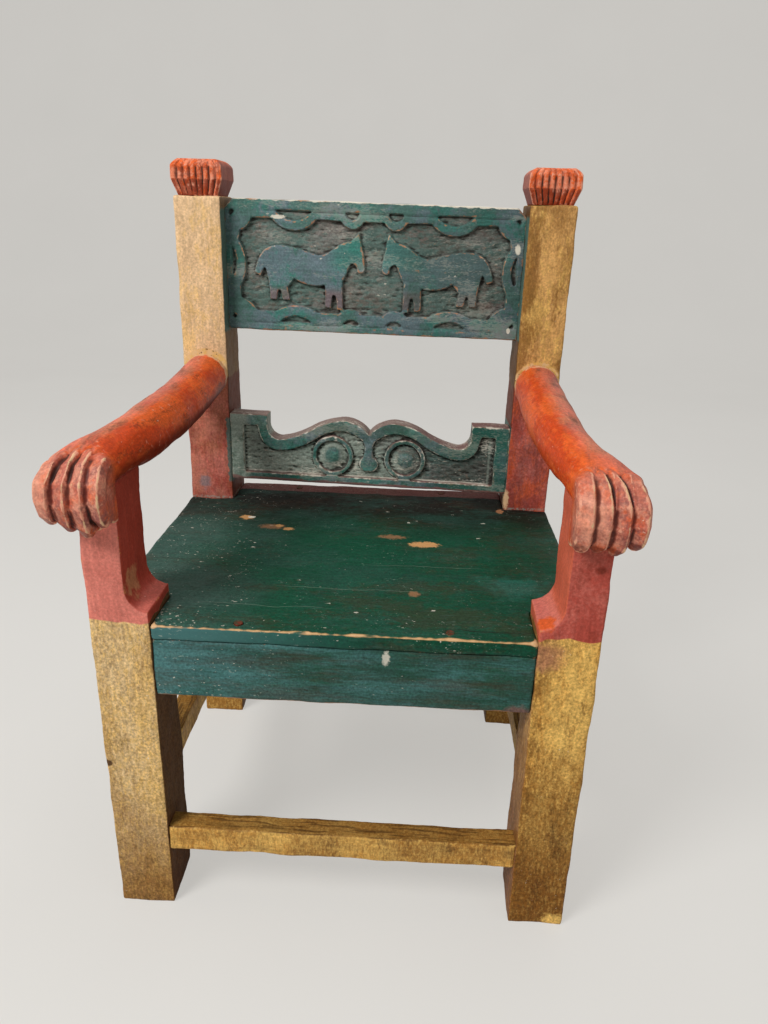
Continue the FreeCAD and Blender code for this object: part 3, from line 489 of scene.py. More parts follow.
def back_post_finish(side):
    """Cream or honey above the arm, red down to the seat, ochre below."""
    left, inward = side == "left", -sign_of(side)
    brush = Brush(f"back_post_paint_{side}", "Z")
    # Painted light: the left post's cream is paler than the right post's honey, partly because light falls
    # from the left.
    brush.prime("cream" if left else "honey")
    brush.mottle("ochre_gold", 0.45 if left else 0.75, 30, 3, 0.04, 1.0, TALL)
    brush.mottle("ochre_brown", 0.35 if left else 0.65, 30, 2, 0.13 if left else 0.05, 2.0, TALL, 0.18)
    inner = brush.step(brush.east * inward, 0.5, 0.8)
    if not left:
        near_rail = brush.step(brush.x, 0.190, 0.166)
        brush.mottle("ochre_brown", 0.7, 24, 3, 0.12 - near_rail * 0.2, 3.0, TALL)
    wobble = brush.wander(0.012, 25, None, 2.0, 6.0)
    red = brush.step(brush.z + wobble, 0.452, 0.448)
    brush.lay("brick", red)
    brush.mottle("salmon", red * 0.65, 22, 3, -0.04 if left else 0.08, 7.0, None, 0.16)
    brush.mottle("mauve", red * (0.45 if left else 0.6), 20, 3, 0.02, 8.0, TALL, 0.2)
    brush.mottle("brick_dark", red * 0.6, 30, 3, 0.10 if left else 0.04, 9.0, TALL, 0.16)
    if left:
        brush.mottle("tan", red * 0.4, 26, 2, 0.0, 12.0, TALL, 0.2)
        brush.stain("teal_blue", 0.55, (-0.1955, POST_FRONT, 0.3250), (0.006, 0.02, 0.008), 0.9, 0.4)
    else:
        brush.mottle("orange", red * 0.5, 16, 2, 0.05, 12.0, TALL, 0.16)
    below = brush.step(brush.z, 0.303, 0.298)
    brush.lay("ochre", below)
    brush.mottle("ochre_brown", below * 0.6, 34, 2, 0.04, 10.0, TALL, 0.2)
    brush.fade("ochre_brown", below * 0.6, brush.z, 0.25, 0.0)
    brush.mottle("ochre_gold", below * 0.5, 2.6, 1.0, 0.06, 11.0, TALL, 0.12)
    brush.lay("umber", inner * 0.8)
    lap_noise = brush.wander(0.008, 6, None, 3.0, 5.0)
    lap = brush.step(brush.x * inward + lap_noise, -0.1672, -0.1660) if left else inner
    upper = brush.band(brush.z, 0.502, 0.630, 0.002) * inner
    lower = brush.band(brush.z, 0.326, 0.404, 0.002) * lap
    brush.lay("teal", (upper + lower) * 0.85)
    brush.brushwork(0.08, 0.60, 0.35)
    brush.spatter("umber", 0.45, 2.2, 0.06, TALL)
    brush.spatter("chalk", 0.5, 2.2, 0.07, None, 6.0)
    crust = brush.band(brush.z + wobble * 0.3, 0.3045, 0.3075, 0.0006)
    brush.fade("haze", crust * 0.6, brush.cloud(2.5, None, 3.0), 0.42, 0.62)
    front = brush.step(brush.north, -0.4, -0.8)
    root = (0.187 * sign_of(side), POST_FRONT, 0.4545)
    girth = 28.0 * MM if left else 25.9 * MM
    ring = brush.spot(root, (girth, 0.02, girth), 0.10, 0.04) * front * brush.step(brush.z, 0.450, 0.456)
    brush.lay("ochre_gold", ring * 0.8)
    brush.mottle("cream", ring * 0.8, 7, 1.5, 0.0, 13.0)
    brush.spatter("umber", ring * 0.8, 3.0, -0.06, None, 8.0)
    if not left:
        brush.stain("cream", 0.85, (0.1635, POST_FRONT, 0.317), (0.0035, 0.02, 0.011), 0.8, 0.3)
    brush.rub_edges_and_highlights("ochre_gold", 0.45, 0.55)
    brush.soil_and_shade(0.7)
    return brush.varnish(0.6, 0.5)


def arm_finish(side):
    """Orange red, rubbed pink on top where a painted reflection also lies, with painted shade under the arm
    and the paw, and dirt and painted shade between the toes.
    """
    outward = sign_of(side)
    along = (1, 0.4, 1)
    brush = Brush(f"arm_paint_{side}", "Y")
    brush.prime("orange")
    brush.mottle("orange_deep", 0.6, 30, 4, 0.02, 1.0, along)
    inside = brush.east * -outward
    # Painted shade: deeper orange on the lower and inner faces.
    brush.fade("orange_deep", 0.6, brush.up + inside * 0.4, 0.3, -0.5)
    # Painted shade: maroon under the left arm; the umber smudges are dirt.
    if side == "left":
        brush.fade("maroon", 0.8, brush.up + brush.wander(0.5, 20, along, 3.0, 7.0), 0.25, -0.35)
        brush.mottle("umber", 0.6, 16, 1.4, 0.16, 13.0, along, 0.10)
    facing = brush.up * 0.8 - inside * 0.7
    top = brush.step(facing + brush.wander(1.4, 14, along, 4.0, 2.0), 0.45, 1.05)
    # Painted reflection and wear: salmon on the faces turned up and out.
    brush.fade("salmon", 0.55, facing, 0.45, 1.0)
    brush.mottle("tan", top * 0.5, 20, 3, -0.02, 4.0, along, 0.16)
    brush.mottle("mauve", top * 0.4, 22, 2, 0.04, 5.0, along, 0.16)
    brush.mottle("umber", top * 0.6, 12, 1.6, 0.09, 6.0, along, 0.12)
    paw = brush.step(brush.y, -0.166, -0.192)
    brush.lay("rose", paw * 0.85)
    brush.mottle("brick", paw * 0.6, 16, 3, 0.0, 11.0, None, 0.2)
    brush.mottle("mauve", paw * 0.8, 14, 3, 0.0, 3.0, None, 0.2)
    # Painted shade: mauve on the paw's lower part.
    brush.mottle("mauve", paw * brush.step(brush.z, 0.428, 0.404) * 0.6, 10, 2, -0.04, 7.0)
    brush.mottle("pink", paw * 0.6, 12, 2, 0.05, 8.0, None, 0.16)
    brush.mottle("orange", paw * 0.6, 18, 3, 0.10, 10.0, None, 0.16)
    tips = brush.step(brush.z, 0.410, 0.397) * paw
    brush.mottle("orange", tips * 0.7, 9, 2, 0.02, 9.0)
    # Painted shade: maroon under the paw.
    brush.fade("maroon", paw * 0.65, brush.up, -0.15, -0.7)
    # Painted highlight: a pale pink reflection on the left paw's outermost toe; the right paw has a pale pink
    # patch on its inner toe.
    if side == "left":
        brush.stain("pink", 0.6, (-0.229, -0.185, 0.430), (0.010, 0.03, 0.028), 0.8, 0.6)
    else:
        brush.stain("pink", 0.6, (0.183, -0.195, 0.425), (0.012, 0.02, 0.020), 0.9, 0.6)
    brush.brushwork(0.14, 0.55, 0.28)
    # Painted shade: maroon in the hollows between the toes.
    brush.fade("maroon", paw * 0.85, brush.hollow, 0.0, 0.26)
    # Wear and painted highlights: pink and cream along the raised edges of the arm and the toes.
    brush.rub_edges_and_highlights("pink", 0.85, 0.20)
    brush.rub_edges_and_highlights("cream", 0.8, 0.36, 4.0)
    brush.spatter("chalk", 0.6, 2.4, 0.05, along)
    crust = brush.band(brush.y + brush.wander(0.006, 7, None, 3.0), 0.1350, 0.1445, 0.0008)
    brush.mottle("cream", crust * 0.85, 10, 2, -0.06, 12.0)
    brush.soil_and_shade(0.8, 0.14, 0.5)
    return brush.varnish(0.5, 0.4, 0.16)


def finial_finish(side):
    """Orange red ridges with flutes darkened by dirt and painted shade, and painted shade on the sides and on
    the faces turned down.
    """
    brush = Brush(f"finial_paint_{side}", "Z")
    brush.prime("orange")
    brush.mottle("pink", 0.5, 10, 2, 0.0, 1.0)
    brush.mottle("brick_dark", 0.6 if side == "left" else 0.35, 12, 2, 0.08, 2.0)
    # Painted shade: mauve on the sides and dark brick on the faces turned down.
    brush.fade("mauve", 0.75, abs(brush.east), 0.55, 0.85)
    brush.fade("brick_dark", 0.75, brush.up, -0.05, -0.3)
    brush.brushwork(0.14, 0.40, 0.20)
    brush.rub_edges_and_highlights("pink", 0.8, 0.25)
    # Dirt and painted shade darken the flutes.
    brush.soil_and_shade(0.9, 0.06, 0.34)
    return brush.varnish(0.55, 0.35)


def carving_coats(brush, face_y):
    """Teal paint, with the cut ground greyer and browner than the raised carving."""
    along = (0.45, 1, 1)
    brush.prime("teal")
    brush.mottle("teal_blue", 0.75, 40, 5, 0.0, 1.0)
    brush.mottle("teal_bright", 0.75, 44, 5, 0.05, 2.0)
    ground = brush.step(brush.y, face_y + 0.4 * sizes().relief, face_y + 0.8 * sizes().relief)
    brush.lay("sage", ground * 0.85)
    brush.mottle("umber", ground * 0.4, 22, 2, 0.06, 3.0, along)
    brush.mottle("mauve", ground * 0.2, 28, 2, 0.06, 4.0, along)
    brush.mottle("teal", ground * 0.7, 30, 3, 0.0, 5.0, along)
    return ground


def rail_wear(brush, dry, bare, pale):
    """Strokes, flakes, dry brush marks, bare and pale edges that are partly painted highlights, and dirt and
    painted shade in the hollows.
    """
    brush.brushwork(0.20, 0.60, 0.40)
    brush.mottle("chalk", dry, 24, 1.1, 0.10, 7.0, LONG, 0.06)
    brush.lay("chalk", brush.flecks(3.2, 0.025, OVAL) * 0.7)
    # Wear and painted highlights: tan along the raised edges of the carving.
    brush.rub_edges_and_highlights("tan", bare, 0.24)
    brush.rub_edges_and_highlights("chalk", pale, 0.30, 4.0)
    brush.soil_and_shade(0.85, 0.10, 0.45)


def upper_rail_finish(face_y, low, high):
    """Carved crest."""
    brush = Brush("crest_paint", "X")
    ground = carving_coats(brush, face_y)
    inside = brush.band(brush.z, low + 28 * MM, high - 27 * MM, 1 * MM)
    body = inside * brush.band(brush.x, -0.126, 0.128, 1 * MM) * (1 - ground)
    brush.mottle("teal_blue", body * 0.75, 32, 4, -0.06, 8.0)
    heads = brush.step(abs(brush.x - 0.004), 0.062, 0.040) * brush.step(brush.z, low + 62 * MM, low + 76 * MM)
    brush.lay("teal_bright", body * heads * 0.65)
    brush.fade("mauve", body * 0.45, brush.z, low + 52 * MM, low + 42 * MM)
    brush.fade("emerald_grey", 0.35, brush.x, -0.125, -0.140)
    brush.fade("grime_and_shade", 0.3, brush.x, -0.03, 0.14)
    brush.fade("emerald_grey", body * 0.5, brush.x, 0.012, 0.05)
    rail_wear(brush, 0.16, 0.8 - ground * 0.6, 0.2)
    brush.stain("chalk", 1.0, (0.1556, face_y, 0.5969), (0.003, 0.01, 0.005), 0.5)
    brush.stain("chalk", 1.0, (0.1521, face_y, 0.5109), (0.002, 0.01, 0.003), 0.4)
    brush.stain("chalk", 0.9, (-0.104, face_y, 0.6235), (0.008, 0.01, 0.002), 0.5)
    slope = brush.x * (sizes().crest_drop / RAIL_HALF)
    ragged = brush.wander(0.007, 6, OVAL, 4.0, 5.0)
    arris = brush.step(brush.y + ragged, face_y + 4 * MM, face_y + 2 * MM)
    level = brush.z + slope + ragged
    brush.lay("chalk", brush.step(level, high - 1.4 * MM, high - 0.6 * MM) * arris * 0.85)
    brush.fade("tan", 0.8, level, low + 0.9 * MM, low + 0.2 * MM)
    return brush.varnish(0.58, 0.6)


def lower_rail_finish(face_y, low):
    """Scrolled rail."""
    brush = Brush("scroll_rail_paint", "X")
    ground = carving_coats(brush, face_y)
    brush.mottle("haze", ground * 0.8, 30, 2, 0.12 - brush.step(brush.x, 0.11, -0.02) * 0.20, 8.0, LONG)
    brush.fade("haze", ground * 0.25, brush.x, 0.08, -0.08)
    brush.fade("grime_and_shade", 0.6, brush.x, 0.03, 0.12)
    brush.fade("haze", 0.9, brush.x, -0.138, -0.146)
    brush.mottle("haze", 0.25 - brush.x * 1.2, 26, 1.5, 0.06, 10.0, LONG, 0.16)
    brush.mottle("emerald", (1 - ground) * 0.5, 40, 4, 0.02, 9.0)
    brush.lay("teal_bright", brush.step(brush.x, 0.02, 0.15) * (1 - ground) * 0.3)
    brush.fade("mauve", 0.65, brush.up, 0.45, 0.8)
    rail_wear(brush, ground * 0.4 + 0.16, 0.2, 0.7)
    slope = brush.x * (sizes().scroll_drop / RAIL_HALF)
    ragged = brush.wander(0.006, 8, OVAL, 4.0, 5.0)
    brush.fade("mauve", 0.75, brush.z + slope + ragged, low + 4.0 * MM, low + 2.6 * MM)
    line = brush.band(brush.z + slope + ragged * 0.3, low + 9.5 * MM, low + 11.0 * MM, 0.5 * MM)
    front = brush.step(brush.north, 0.0, -0.5)
    brush.lay("chalk", line * brush.band(brush.x, -0.150, 0.140, 4 * MM) * front * 0.5)
    brush.lay("haze", brush.band(brush.x + ragged * 0.3, 0.1395, 0.1420, 0.8 * MM) * ground * front * 0.4)
    return brush.varnish(0.58, 0.6)


# Bare chips and thinner rubs on the seat: place, width and depth; scratches: place, start and end; in metres
CHIPS = (
    (-0.1328, 0.0822, 0.0075, 0.006), (-0.0924, 0.0596, 0.005, 0.0035), (-0.0812, 0.0521, 0.006, 0.004),
    (0.0674, 0.0242, 0.0155, 0.0075),
)
RUBS = ((0.0341, 0.0423, 0.013, 0.005), (0.0581, -0.0899, 0.0055, 0.0045), (-0.100, 0.056, 0.012, 0.006))
SCRATCHES = ((-0.0855, -0.06, 0.06), (-0.030, 0.02, 0.12), (-0.125, -0.13, -0.02))


def seat_finish():
    """Emerald boards, dusty at the edges and chipped to the wood."""
    brush = Brush("seat_paint", "X")
    brush.prime("emerald")
    dusty = brush.x * -4.0 + brush.cloud(60, None, 4.0, 1.0) * 0.9
    brush.fade("emerald_grey", 0.75, dusty, 0.60, 1.15)
    brush.fade("grime_and_shade", 0.95, brush.y + brush.wander(0.1, 50, None, 3.0), 0.02, 0.14)
    brush.mottle("apron_green", 0.4, 50, 5, 0.05, 2.0, OVAL)
    brush.mottle("umber", 0.32, 40, 3, 0.11 - brush.step(brush.x - brush.y, 0.02, 0.25) * 0.08, 3.0, OVAL)
    brush.stain("teal_bright", 0.35, (0.153, -0.066, 0.305), (0.026, 0.022, 0.02), 1.2, 0.5)
    brush.fade("mauve", 0.75, brush.y, 0.1745, 0.1765)
    brush.brushwork(0.16, 0.80, 0.40)
    brush.fade("emerald_grey", 0.55, brush.streak(1.4, 2.0, 7.0), 0.62, 0.72)
    brush.lay("chalk", brush.flecks(4.2, 0.014, OVAL) * 0.85)
    dust = brush.step(brush.x, -0.02, -0.17) * 0.07 + brush.step(brush.y, -0.11, -0.16) * 0.04
    brush.spatter("chalk", 0.75, 2.0, 0.055 - dust, OVAL, 3.0)
    brush.spatter("haze", 0.5, 1.6, 0.0, OVAL, 9.0)
    brush.spatter("grime_and_shade", 0.5, 2.6, -0.03, LONG, 12.0)
    path = brush.y + brush.wander(0.008, 30, None, 2.0, 8.0)
    for place, start, end in SCRATCHES:
        thin = brush.band(path, place - 0.25 * MM, place + 0.25 * MM, 0.3 * MM)
        brush.lay("haze", thin * brush.band(brush.x, start, end, 0.02) * 0.4)
    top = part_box("seat_board")[1].z
    for x, y, wide, deep in RUBS:
        brush.stain("tan", 0.5, (x, y, top), (wide, deep, 4 * MM), 0.9, 0.4)
    for x, y, wide, deep in CHIPS:
        chip = brush.spot((x, y, top), (wide, deep, 4 * MM), 0.8)
        brush.lay("bare_wood", chip)
        brush.raise_by(chip * -1.5)
    brush.stain("chalk", 1.0, (-0.1275, 0.0835, top), (0.004, 0.003, 4 * MM), 0.5)
    brush.stain("tan", 0.8, (0.157, 0.134, top), (0.004, 0.007, 6 * MM), 0.8)
    crack_y = brush.y + brush.wander(0.006, 12, None, 3.0, 4.0)
    crack = brush.band(crack_y, -0.1540, -0.1530, 0.0004) * brush.band(brush.x, 0.095, 0.168, 0.004)
    brush.lay("grime_and_shade", crack * 0.9)
    brush.lay("apron_blue", brush.step(brush.north, -0.5, -0.9) * brush.step(brush.x, 0.05, -0.15) * 0.7)
    arris = brush.step(brush.z, top - 3.2 * MM, top - 2.2 * MM) * brush.step(brush.y, -0.160, -0.164)
    broken = brush.step(brush.cloud(20, (0.35, 1, 1), 4.0, 6.0), 0.34, 0.43)
    brush.fade("bare_wood", arris * broken * 0.85, brush.edge, 0.31, 0.42)
    brush.fade("cream", arris * broken * 0.65, brush.edge, 0.35, 0.46)
    brush.rub_edges_and_highlights("bare_wood", 0.5, 0.6)
    brush.soil_and_shade(0.8)
    return brush.varnish(0.5 + brush.step(brush.y, 0.02, 0.14) * 0.2, 0.45, 0.11)


def seat_rail_finish():
    """Apron green."""
    brush = Brush("seat_rail_paint", "X")
    along = (0.45, 1, 1)
    brush.prime("apron_green")
    brush.fade("apron_blue", 0.85, brush.x + brush.wander(0.3, 70, None, 3.0), 0.02, -0.13)
    thin = (0.16, 1, 1)
    brush.mottle("emerald", 0.6, 44, 4, 0.02, 1.0, along, 0.2)
    brush.mottle("apron_blue", 0.5, 12, 1.4, 0.05, 2.0, thin, 0.16)
    brush.mottle("umber", 0.4, 14, 1.4, 0.07, 3.0, thin, 0.16)
    brush.stain("mauve", 0.6, (0.150, -0.168, 0.236), (0.010, 0.01, 0.007), 0.6, 0.5)
    brush.brushwork(0.16, 0.90, 0.50)
    aside = brush.step(brush.x, 0.05, -0.16) * 0.05
    brush.spatter("haze", 0.6, 2.2, 0.02 - aside, along, 3.0)
    brush.spatter("grime_and_shade", 0.55, 2.6, -0.02, LONG, 12.0)
    brush.spatter("chalk", 0.6, 2.0, 0.05 - aside, along)
    brush.stain("chalk", 0.7, (0.0364, -0.168, 0.2835), (0.0030, 0.008, 0.0062), 0.9, 0.35)
    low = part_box("front_seat_rail")[0].z
    ragged = brush.wander(0.006, 9, along, 4.0, 5.0)
    brush.fade("tan", 0.7, brush.z + ragged, low + 1.4 * MM, low + 0.6 * MM)
    brush.rub_edges_and_highlights("tan", 0.6, 0.55)
    brush.soil_and_shade(0.8)
    return brush.varnish(0.52, 0.45, 0.22)


def stretcher_finish(grain):
    """Ochre sticks."""
    brush = Brush(f"stretcher_paint_{grain}", grain)
    ochre_coats(brush, False, brush.patches(60, 6, 0.06, 13.0, None, 0.25) * 0.5)
    top = brush.step(brush.up, 0.5, 0.9)
    brush.lay("ochre_brown", top * 0.5)
    brush.fade("umber", top * 0.6, brush.streak(3, 2.0, 9.0), 0.52, 0.6)
    brush.brushwork(0.12, 0.60, 0.40)
    brush.rub_edges_and_highlights("ochre_gold", 0.8, 0.4)
    brush.soil_and_shade(0.8)
    return brush.varnish(0.58, 0.5)


def peg_finish():
    """End grain of the pegs, stained reddish brown."""
    brush = Brush("peg_paint", "Z")
    brush.prime("brick_dark")
    brush.mottle("umber", 0.7, 3, 1)
    brush.mottle("emerald", brush.step(brush.up, 0.3, 0.8) * 0.75, 5, 1, -0.02, 3.0, None, 0.2)
    brush.brushwork(0.10, 0.2, 0.1)
    brush.soil_and_shade(0.6)
    return brush.varnish(0.7, 0.3)


# Wood

# Small ripples of a hewn face, and the lift of a sharp edge as a share of the mesh step
RIPPLE, RIPPLE_SHARE = 9 * MM, 0.22
FULL_LIFT = 0.42


def skin(node, grain, ease=3, stopper=None):
    """A copy of a solid as one even, softened mesh that can be carved, with a bore's mouth stopped."""
    bm = bmesh.new()
    bm.from_mesh(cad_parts[node].data)
    bmesh.ops.remove_doubles(bm, verts=bm.verts, dist=0.01 * MM)
    if stopper:
        place = Matrix.Translation(stopper) @ Matrix.Rotation(math.pi / 2, 4, "X")
        wide = sizes().stopper_radius
        bmesh.ops.create_cone(
            bm, cap_ends=True, segments=16, radius1=wide, radius2=wide, depth=sizes().stopper, matrix=place)
    block = bpy.data.meshes.new(f"{node}_block")
    bm.to_mesh(block)
    bm.free()
    piece = bpy.data.objects.new(f"painted_{node}", block)
    bpy.context.scene.collection.objects.link(piece)
    even = piece.modifiers.new("Even mesh", "REMESH")
    even.mode, even.voxel_size, even.adaptivity = "VOXEL", grain, 0.0
    soft = piece.modifiers.new("Soft edges", "SMOOTH")
    soft.factor, soft.iterations = 0.5, ease
    bpy.context.view_layer.update()
    shaped = piece.evaluated_get(bpy.context.evaluated_depsgraph_get())
    mesh = bpy.data.meshes.new_from_object(shaped)
    piece.modifiers.clear()
    piece.data = mesh
    bpy.data.meshes.remove(block)
    return piece


def read(what, name="co"):
    values = np.zeros(len(what) * 3, np.float32)
    what.foreach_get(name, values)
    return values.reshape(-1, 3).astype(float)


def points_of(piece):
    return read(piece.data.vertices)


def normals_of(piece):
    return read(piece.data.vertex_normals, "vector")


def edge_ends(piece):
    """The numbers of the points at the two ends of each edge."""
    ends = np.zeros(len(piece.data.edges) * 2, np.int32)
    piece.data.edges.foreach_get("vertices", ends)
    return ends[0::2], ends[1::2]


def move(piece, points):
    piece.data.vertices.foreach_set("co", points.astype(np.float32).ravel())
    piece.data.update()


def rise(values, low, high):
    """0 at low, 1 at high, with a soft rise between."""
    share = np.clip((values - low) / (high - low), 0, 1)
    return share * share * (3 - 2 * share)


def bell(values, width):
    return np.exp(-(values / width) ** 2)


def waves(points, length, seed, stretch=(1, 1, 1), count=14):
    """A smooth wandering value, about minus one to one."""
    rng = np.random.default_rng(seed)
    turns = rng.normal(size=(count, 3))
    turns *= (rng.uniform(0.6, 1.6, (count, 1)) / np.linalg.norm(turns, axis=1, keepdims=True))
    phase = rng.uniform(0, 2 * math.pi, count)
    angles = (points * np.array(stretch)) @ turns.T * (2 * math.pi / length) + phase
    return np.sin(angles).sum(1) / math.sqrt(count)


def eased(piece, rounds, weight=1.0):
    """The piece's points after some rounds of drawing each towards its neighbours."""
    points, (a, b) = points_of(piece), edge_ends(piece)
    count = len(points)
    degree = np.maximum(np.bincount(a, minlength=count) + np.bincount(b, minlength=count), 1)
    for _ in range(rounds):
        for axis in range(3):
            line = points[:, axis]
            total = np.bincount(a, line[b], count) + np.bincount(b, line[a], count)
            points[:, axis] = line + 0.5 * weight * (total / degree - line)
    return points


def hew(piece, seed, depth=None):
    """Lets the faces wander a little, as hand-planed wood does, but not under the floor."""
    points = points_of(piece)
    reach = sizes().hewn_depth if depth is None else depth
    ripple = waves(points, RIPPLE, seed + 1) * reach * RIPPLE_SHARE
    lift = waves(points, sizes().hewn_length, seed) * reach + ripple
    points += normals_of(piece) * lift[:, None]
    points[:, 2] = np.maximum(points[:, 2], 0)
    move(piece, points)


def weather(piece, rounds):
    """Marks how far each point stands out of or lies under its surroundings."""
    points = points_of(piece)
    lift = ((points - eased(piece, rounds)) * normals_of(piece)).sum(1)
    a, b = edge_ends(piece)
    step = np.linalg.norm(points[a] - points[b], axis=1).mean() * math.sqrt(rounds)
    for name, value in (("edge", lift), ("hollow", -lift)):
        layer = piece.data.attributes.new(name, "FLOAT", "POINT")
        layer.data.foreach_set("value", np.clip(value / (FULL_LIFT * step), 0, 1).astype(np.float32))


def settle(piece, node, material, rounds=14):
    """Puts a carved piece in its node's place, with its wear and paint."""
    weather(piece, rounds)
    piece.data.materials.clear()
    piece.data.materials.append(material)
    piece.data.polygons.foreach_set("use_smooth", np.ones(len(piece.data.polygons), bool))
    piece.data.update()
    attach(piece, "root")
    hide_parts(node)


class CHAIR_OT_front_posts(bpy.types.Operator):
    """Makes the two ochre legs with their red supports"""

    bl_idname = "chair.front_posts"
    bl_label = "Front posts"

    def execute(self, context):
        for seed, side in enumerate(SIDES, 20):
            node = f"front_post_{side}"
            piece = skin(node, sizes().post_grain)
            hew(piece, seed)
            settle(piece, node, front_post_finish(side))
        return {"FINISHED"}


class CHAIR_OT_back_posts(bpy.types.Operator):
    """Makes the two back posts"""

    bl_idname = "chair.back_posts"
    bl_label = "Back posts"

    def execute(self, context):
        for seed, side in enumerate(SIDES, 30):
            node = f"back_post_{side}"
            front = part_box(node)[0].y
            rail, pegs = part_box("lower_back_rail"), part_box("back_rail_pegs")
            mouth = (
                sign_of(side) * (pegs[1].x - sizes().peg_radius), front + sizes().stopper / 2,
                (rail[0].z + rail[1].z) / 2)
            piece = skin(node, sizes().post_grain, stopper=mouth)
            hew(piece, seed)
            settle(piece, node, back_post_finish(side))
        return {"FINISHED"}


# How far each toe's tip hangs lower than in the frame, from the viewer's left to the right, in mm
SAGS = {"left": (0.5, 4.8, 9.0, 1.5), "right": (5.0, 3.6, 5.0, 0.5)}
# How far a paw stands further out than in the frame, and how far its outer knuckle is cut down, in mm
SWINGS = {"left": 3.4, "right": 0.4}
SHOULDERS = {"left": 5.0, "right": 1.5}


def melt_limb(piece, side):
    """Rounds the limb's facets, sinks the toes' roots into the hand and straightens the limb's back."""
    points, sign = points_of(piece), sign_of(side)
    turn = palm_turn(points)
    limb = (1 - rise(turn, -6, 24)) * (1 - rise(points[:, 1], 0.128, 0.139))
    move(piece, eased(piece, 90, limb))
    wrist = rise(turn, -80, -50) * (1 - rise(turn, 0, 26)) * rise(points[:, 2], 0.430, 0.440)
    move(piece, eased(piece, 200, wrist))
    points, outside = points_of(piece), np.array((sign * 0.5, 0, 0.87))
    swell = 2.0 * MM * bell(points[:, 1] + 0.074, 0.045) * (sign < 0)
    lift = swell - 3.0 * MM * bell(points[:, 1] + 0.135, 0.026)
    facing = rise(normals_of(piece) @ outside, 0, 0.8)
    move(piece, points + outside * (lift * facing)[:, None])


def palm_turn(points):
    """Degrees round the palm's axis: 0 straight up, 90 to the front."""
    return np.degrees(np.arctan2(sizes().palm_y - points[:, 1], points[:, 2] - sizes().palm_z))


def carve_toes(piece, side):
    """Cuts the round toes to blades with a crest on the viewer's right, gathered at the knuckles."""
    s, sign = sizes(), sign_of(side)
    points = points_of(piece)
    across = points[:, 0] - sign * s.paw_x
    ahead, above = s.palm_y - points[:, 1], points[:, 2] - s.palm_z
    turn, reach = palm_turn(points), np.hypot(ahead, above)
    open_hand = rise(turn, -5, 80)
    gather = s.toe_pitch * (0.66 + 0.34 * open_hand)
    lean = -sign * 4.5 * MM * (1 - open_hand)
    edge, crest = 2 * s.toe_pitch, 0.82
    cuts = [np.full_like(across, -edge), lean - gather, lean, lean + gather, np.full_like(across, edge)]
    ridge, sag, crease = np.zeros_like(across), np.zeros_like(across), np.zeros_like(across)
    for number, (near, far) in enumerate(zip(cuts, cuts[1:])):
        share = (across - near) / (far - near)
        inside = (share >= 0) & (share < 1)
        blade = np.where(share < crest, (np.abs(share) / crest) ** 0.75, (1 - share) / (1 - crest))
        arch = 13 - 15 * 4 * share * (1 - share)
        ridge[inside] = blade[inside]
        sag[inside] = SAGS[side][number] * MM
        crease[inside] = bell(turn - arch, 2.6)[inside]
    middle = (across / s.toe_pitch) % 1 - 0.5
    round_toe = s.toe_curl + np.sqrt(np.maximum(s.toe_radius ** 2 - (middle * s.toe_pitch) ** 2, 0))
    blade_toe = s.toe_floor + s.toe_ridge * ridge
    outer = rise(reach, 21 * MM, 26 * MM)
    shown = outer * (1 - rise(np.abs(across), 23 * MM, 27 * MM))
    cut = (blade_toe - round_toe) * rise(turn, 0, 24) * (1 - rise(turn, 122, 150))
    cut -= crease * s.crease_depth * (1 - rise(np.abs(across), 19 * MM, 23 * MM))
    outward = rise(sign * across, 8 * MM, 26 * MM) + 0.3 * rise(-sign * across, 12 * MM, 25 * MM)
    lowered = SHOULDERS[side] * MM * outward * (1 - rise(turn, -10, 88)) * rise(turn, -75, -30)
    grown = (reach + cut * shown - lowered * outer) / np.maximum(reach, 1 * MM)
    points[:, 1] = s.palm_y - ahead * grown
    points[:, 2] = s.palm_z + above * grown - sag * rise(turn, 70, 150) * outer
    flare = rise(turn, -70, -15) * (1 - rise(turn, -10, 14)) * rise(sign * across, 6 * MM, 20 * MM) * outer
    pinch = bell(turn - 30, 20) * rise(sign * across, 8 * MM, 25 * MM) * outer
    swing = SWINGS[side] * rise(-points[:, 1], 0.09, 0.17)
    points[:, 0] += sign * MM * (swing + 2.4 * flare - 4.0 * pinch)
    move(piece, points)
    move(piece, eased(piece, 2, 0.7))


class CHAIR_OT_arms(bpy.types.Operator):
    """Makes the two arms with their carved paws"""

    bl_idname = "chair.arms"
    bl_label = "Arms"

    def execute(self, context):
        for seed, side in enumerate(SIDES, 40):
            node = f"arm_{side}"
            piece = skin(node, sizes().arm_grain, ease=4)
            melt_limb(piece, side)
            carve_toes(piece, side)
            hew(piece, seed, depth=0.35 * MM)
            settle(piece, node, arm_finish(side), rounds=18)
        return {"FINISHED"}


def round_top(piece, box):
    """Draws a block's top edges in, so that it swells like a cushion."""
    points = points_of(piece)
    middle, top = np.array((box[0] + box[1]) / 2), box[1].z
    drawn, deep = 0.10, 9 * MM
    share = 1 - drawn * rise(points[:, 2], top - deep, top) ** 2
    points[:, :2] = middle[:2] + (points[:, :2] - middle[:2]) * share[:, None]
    move(piece, points)


class CHAIR_OT_finials(bpy.types.Operator):
    """Makes the two fluted finials"""

    bl_idname = "chair.finials"
    bl_label = "Finials"

    def execute(self, context):
        for seed, side in enumerate(SIDES, 50):
            node = f"finial_{side}"
            piece = skin(node, sizes().finial_grain, ease=2)
            round_top(piece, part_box(node))
            hew(piece, seed, depth=0.2 * MM)
            settle(piece, node, finial_finish(side))
        return {"FINISHED"}


